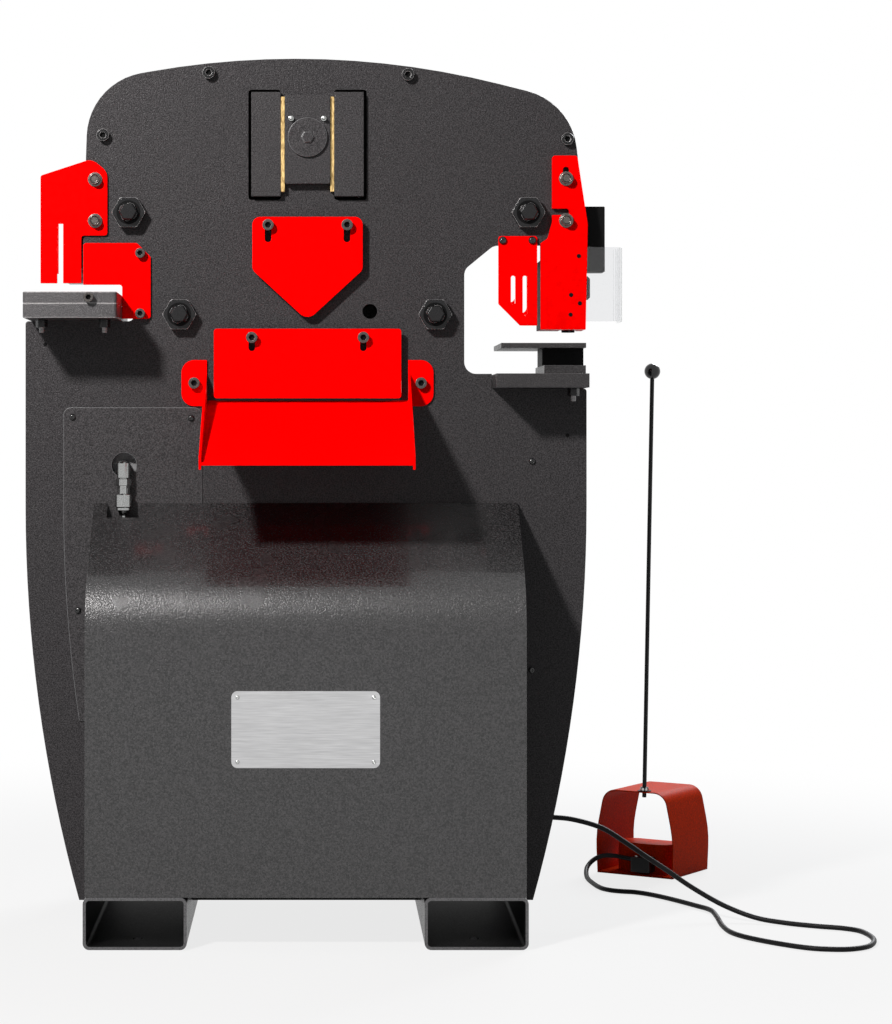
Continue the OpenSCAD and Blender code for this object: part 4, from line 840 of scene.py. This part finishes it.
def moulded_black(name, colour, rough, shine=0.2):
    """Black plastic or rubber with a fine grain from the mould."""
    lift = 1.6
    grain_scale = 500.0
    grain_depth = 0.0001
    finish, finish_tree, shader, place = new_finish(name)
    grain = speckle(finish_tree, place, grain_scale)
    lighter = tuple(lift * c for c in colour)
    finish_tree.links.new(two_tone(finish_tree, grain, colour, lighter), shader.inputs["Base Color"])
    finish_tree.links.new(spread(finish_tree, grain, *rough), shader.inputs["Roughness"])
    raise_surface(finish_tree, shader, grain, grain_depth)
    set_inputs(shader, Specular_IOR_Level=shine)
    return finish


black_plastic = moulded_black("moulded_black_plastic", (0.004, 0.004, 0.0042), rough=(0.35, 0.5))
for piece in ("treadle", "strain_relief", "pedal_rod"):
    dress(piece, black_plastic, edge=0.0006)
polished_ball = moulded_black("polished_black_ball", (0.003, 0.003, 0.0032), rough=(0.1, 0.16), shine=0.45)
dress("rod_ball", polished_ball, edge=0)

pedal_place = (0.797, 0.562, 0)
pedal_turn = math.radians(-33.6)
pedal_frame = Matrix.Translation(pedal_place) @ Matrix.Rotation(pedal_turn, 4, "Z")
upwards = (0, 0, 1)
hood_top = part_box("pedal_hood")[1].z
rod_foot = pedal_frame @ Vector((0.018, -0.0775, hood_top))
washer_thick = 0.0016
rod_washer = [(0, 0.0155), (washer_thick, 0.0155)]
rod_nut = [(0, 0.0104), (0.0052, 0.0104), (0.0064, 0.0092)]
lathe("rod_washer", rod_washer, rod_foot, upwards, black_primer_and_shade)
lathe("rod_nut", rod_nut, rod_foot + Vector((0, 0, washer_thick)), upwards, bright_zinc, sides=6)
box_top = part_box("strain_relief")[1].z
box_screw = 0.0032
for i, x in enumerate((-0.003, 0.029)):
    place = pedal_frame @ Vector((x, -0.076, box_top))
    button_screw(f"cable_box_screw_{i + 1}", place, box_screw, upwards, finish=bright_zinc)

# PEDAL CORD
# A round black rubber cord leaves the rear cover through a gland, hangs to the floor, lies there
# in one loose loop and goes into the cable box of the pedal.
dress("cord_gland", black_plastic, edge=0.0006)
cord_diameter = 0.0105
lie = cord_diameter / 2
cord_route = [
    (0.4672, -0.053, 0.208),
    (0.5152, -0.053, 0.208),
    (0.56, -0.055, 0.203),
    (0.615, -0.06, 0.187),
    (0.66, -0.065, 0.16),
    (0.704, -0.066, 0.13),
    (0.748, -0.068, 0.101),
    (0.8, -0.074, 0.066),
    (0.862, -0.09, 0.032),
    (0.924, -0.118, 0.011),
    (0.98, -0.15, lie + 0.0003),
    (1.035, -0.185, lie),
    (1.09, -0.212, lie),
    (1.119, -0.25, lie),
    (1.1255, -0.33, lie),
    (1.106, -0.398, lie),
    (1.071, -0.432, lie),
    (1.028, -0.44, lie),
    (0.972, -0.42, lie),
    (0.9, -0.345, lie),
    (0.858, -0.27, lie),
    (0.848, -0.185, lie),
    (0.852, -0.07, lie),
    (0.85, 0.005, lie),
    (0.826, 0.06, lie),
    (0.787, 0.137, lie),
    (0.751, 0.195, lie),
    (0.719, 0.229, lie),
    (0.69, 0.241, lie),
    (0.6665, 0.2565, lie),
    (0.649, 0.287, lie),
    (0.638, 0.35, lie),
    (0.632, 0.425, 0.007),
    (0.6375, 0.482, 0.019),
    (0.655, 0.5075, 0.033),
    (0.678, 0.5185, 0.041),
    (0.702, 0.5195, 0.041),
    (0.7235, 0.5125, 0.038),
    (0.7423, 0.4999, 0.036),
]
cord_points = [Vector(p) for p in cord_route]


def along_route(points, index, t):
    """A point on the smooth curve through the route, as the solid's tube follows it."""
    last = len(points) - 1
    a, b = points[index], points[index + 1]
    u = b - a if index == 0 else (b - points[index - 1]) / 2
    v = b - a if index + 1 == last else (points[index + 2] - a) / 2
    return (
        a * (2 * t**3 - 3 * t**2 + 1)
        + u * (t**3 - 2 * t**2 + t)
        + b * (3 * t**2 - 2 * t**3)
        + v * (t**3 - t**2)
    )


steps = 6
spans = len(cord_points) - 1
cord_line = [along_route(cord_points, i, k / steps) for i in range(spans) for k in range(steps)]
cord_line.append(cord_points[-1])
cord_curve = bpy.data.curves.new("pedal_cord_rubber", "CURVE")
cord_curve.dimensions = "3D"
cord_curve.bevel_depth = lie
cord_curve.bevel_resolution = 5
cord_curve.use_fill_caps = True
cord_spline = cord_curve.splines.new("POLY")
cord_spline.points.add(len(cord_line) - 1)
for point, place in zip(cord_spline.points, cord_line):
    point.co = (*place, 1)
cord_spline.use_smooth = True
cord_rubber = moulded_black("cord_rubber", (0.0045, 0.0045, 0.0048), rough=(0.4, 0.55), shine=0.1)
cord_curve.materials.append(cord_rubber)
pedal_cord = bpy.data.objects.new("pedal_cord_rubber", cord_curve)
scene.collection.objects.link(pedal_cord)
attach(pedal_cord, "frame")
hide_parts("pedal_cord")
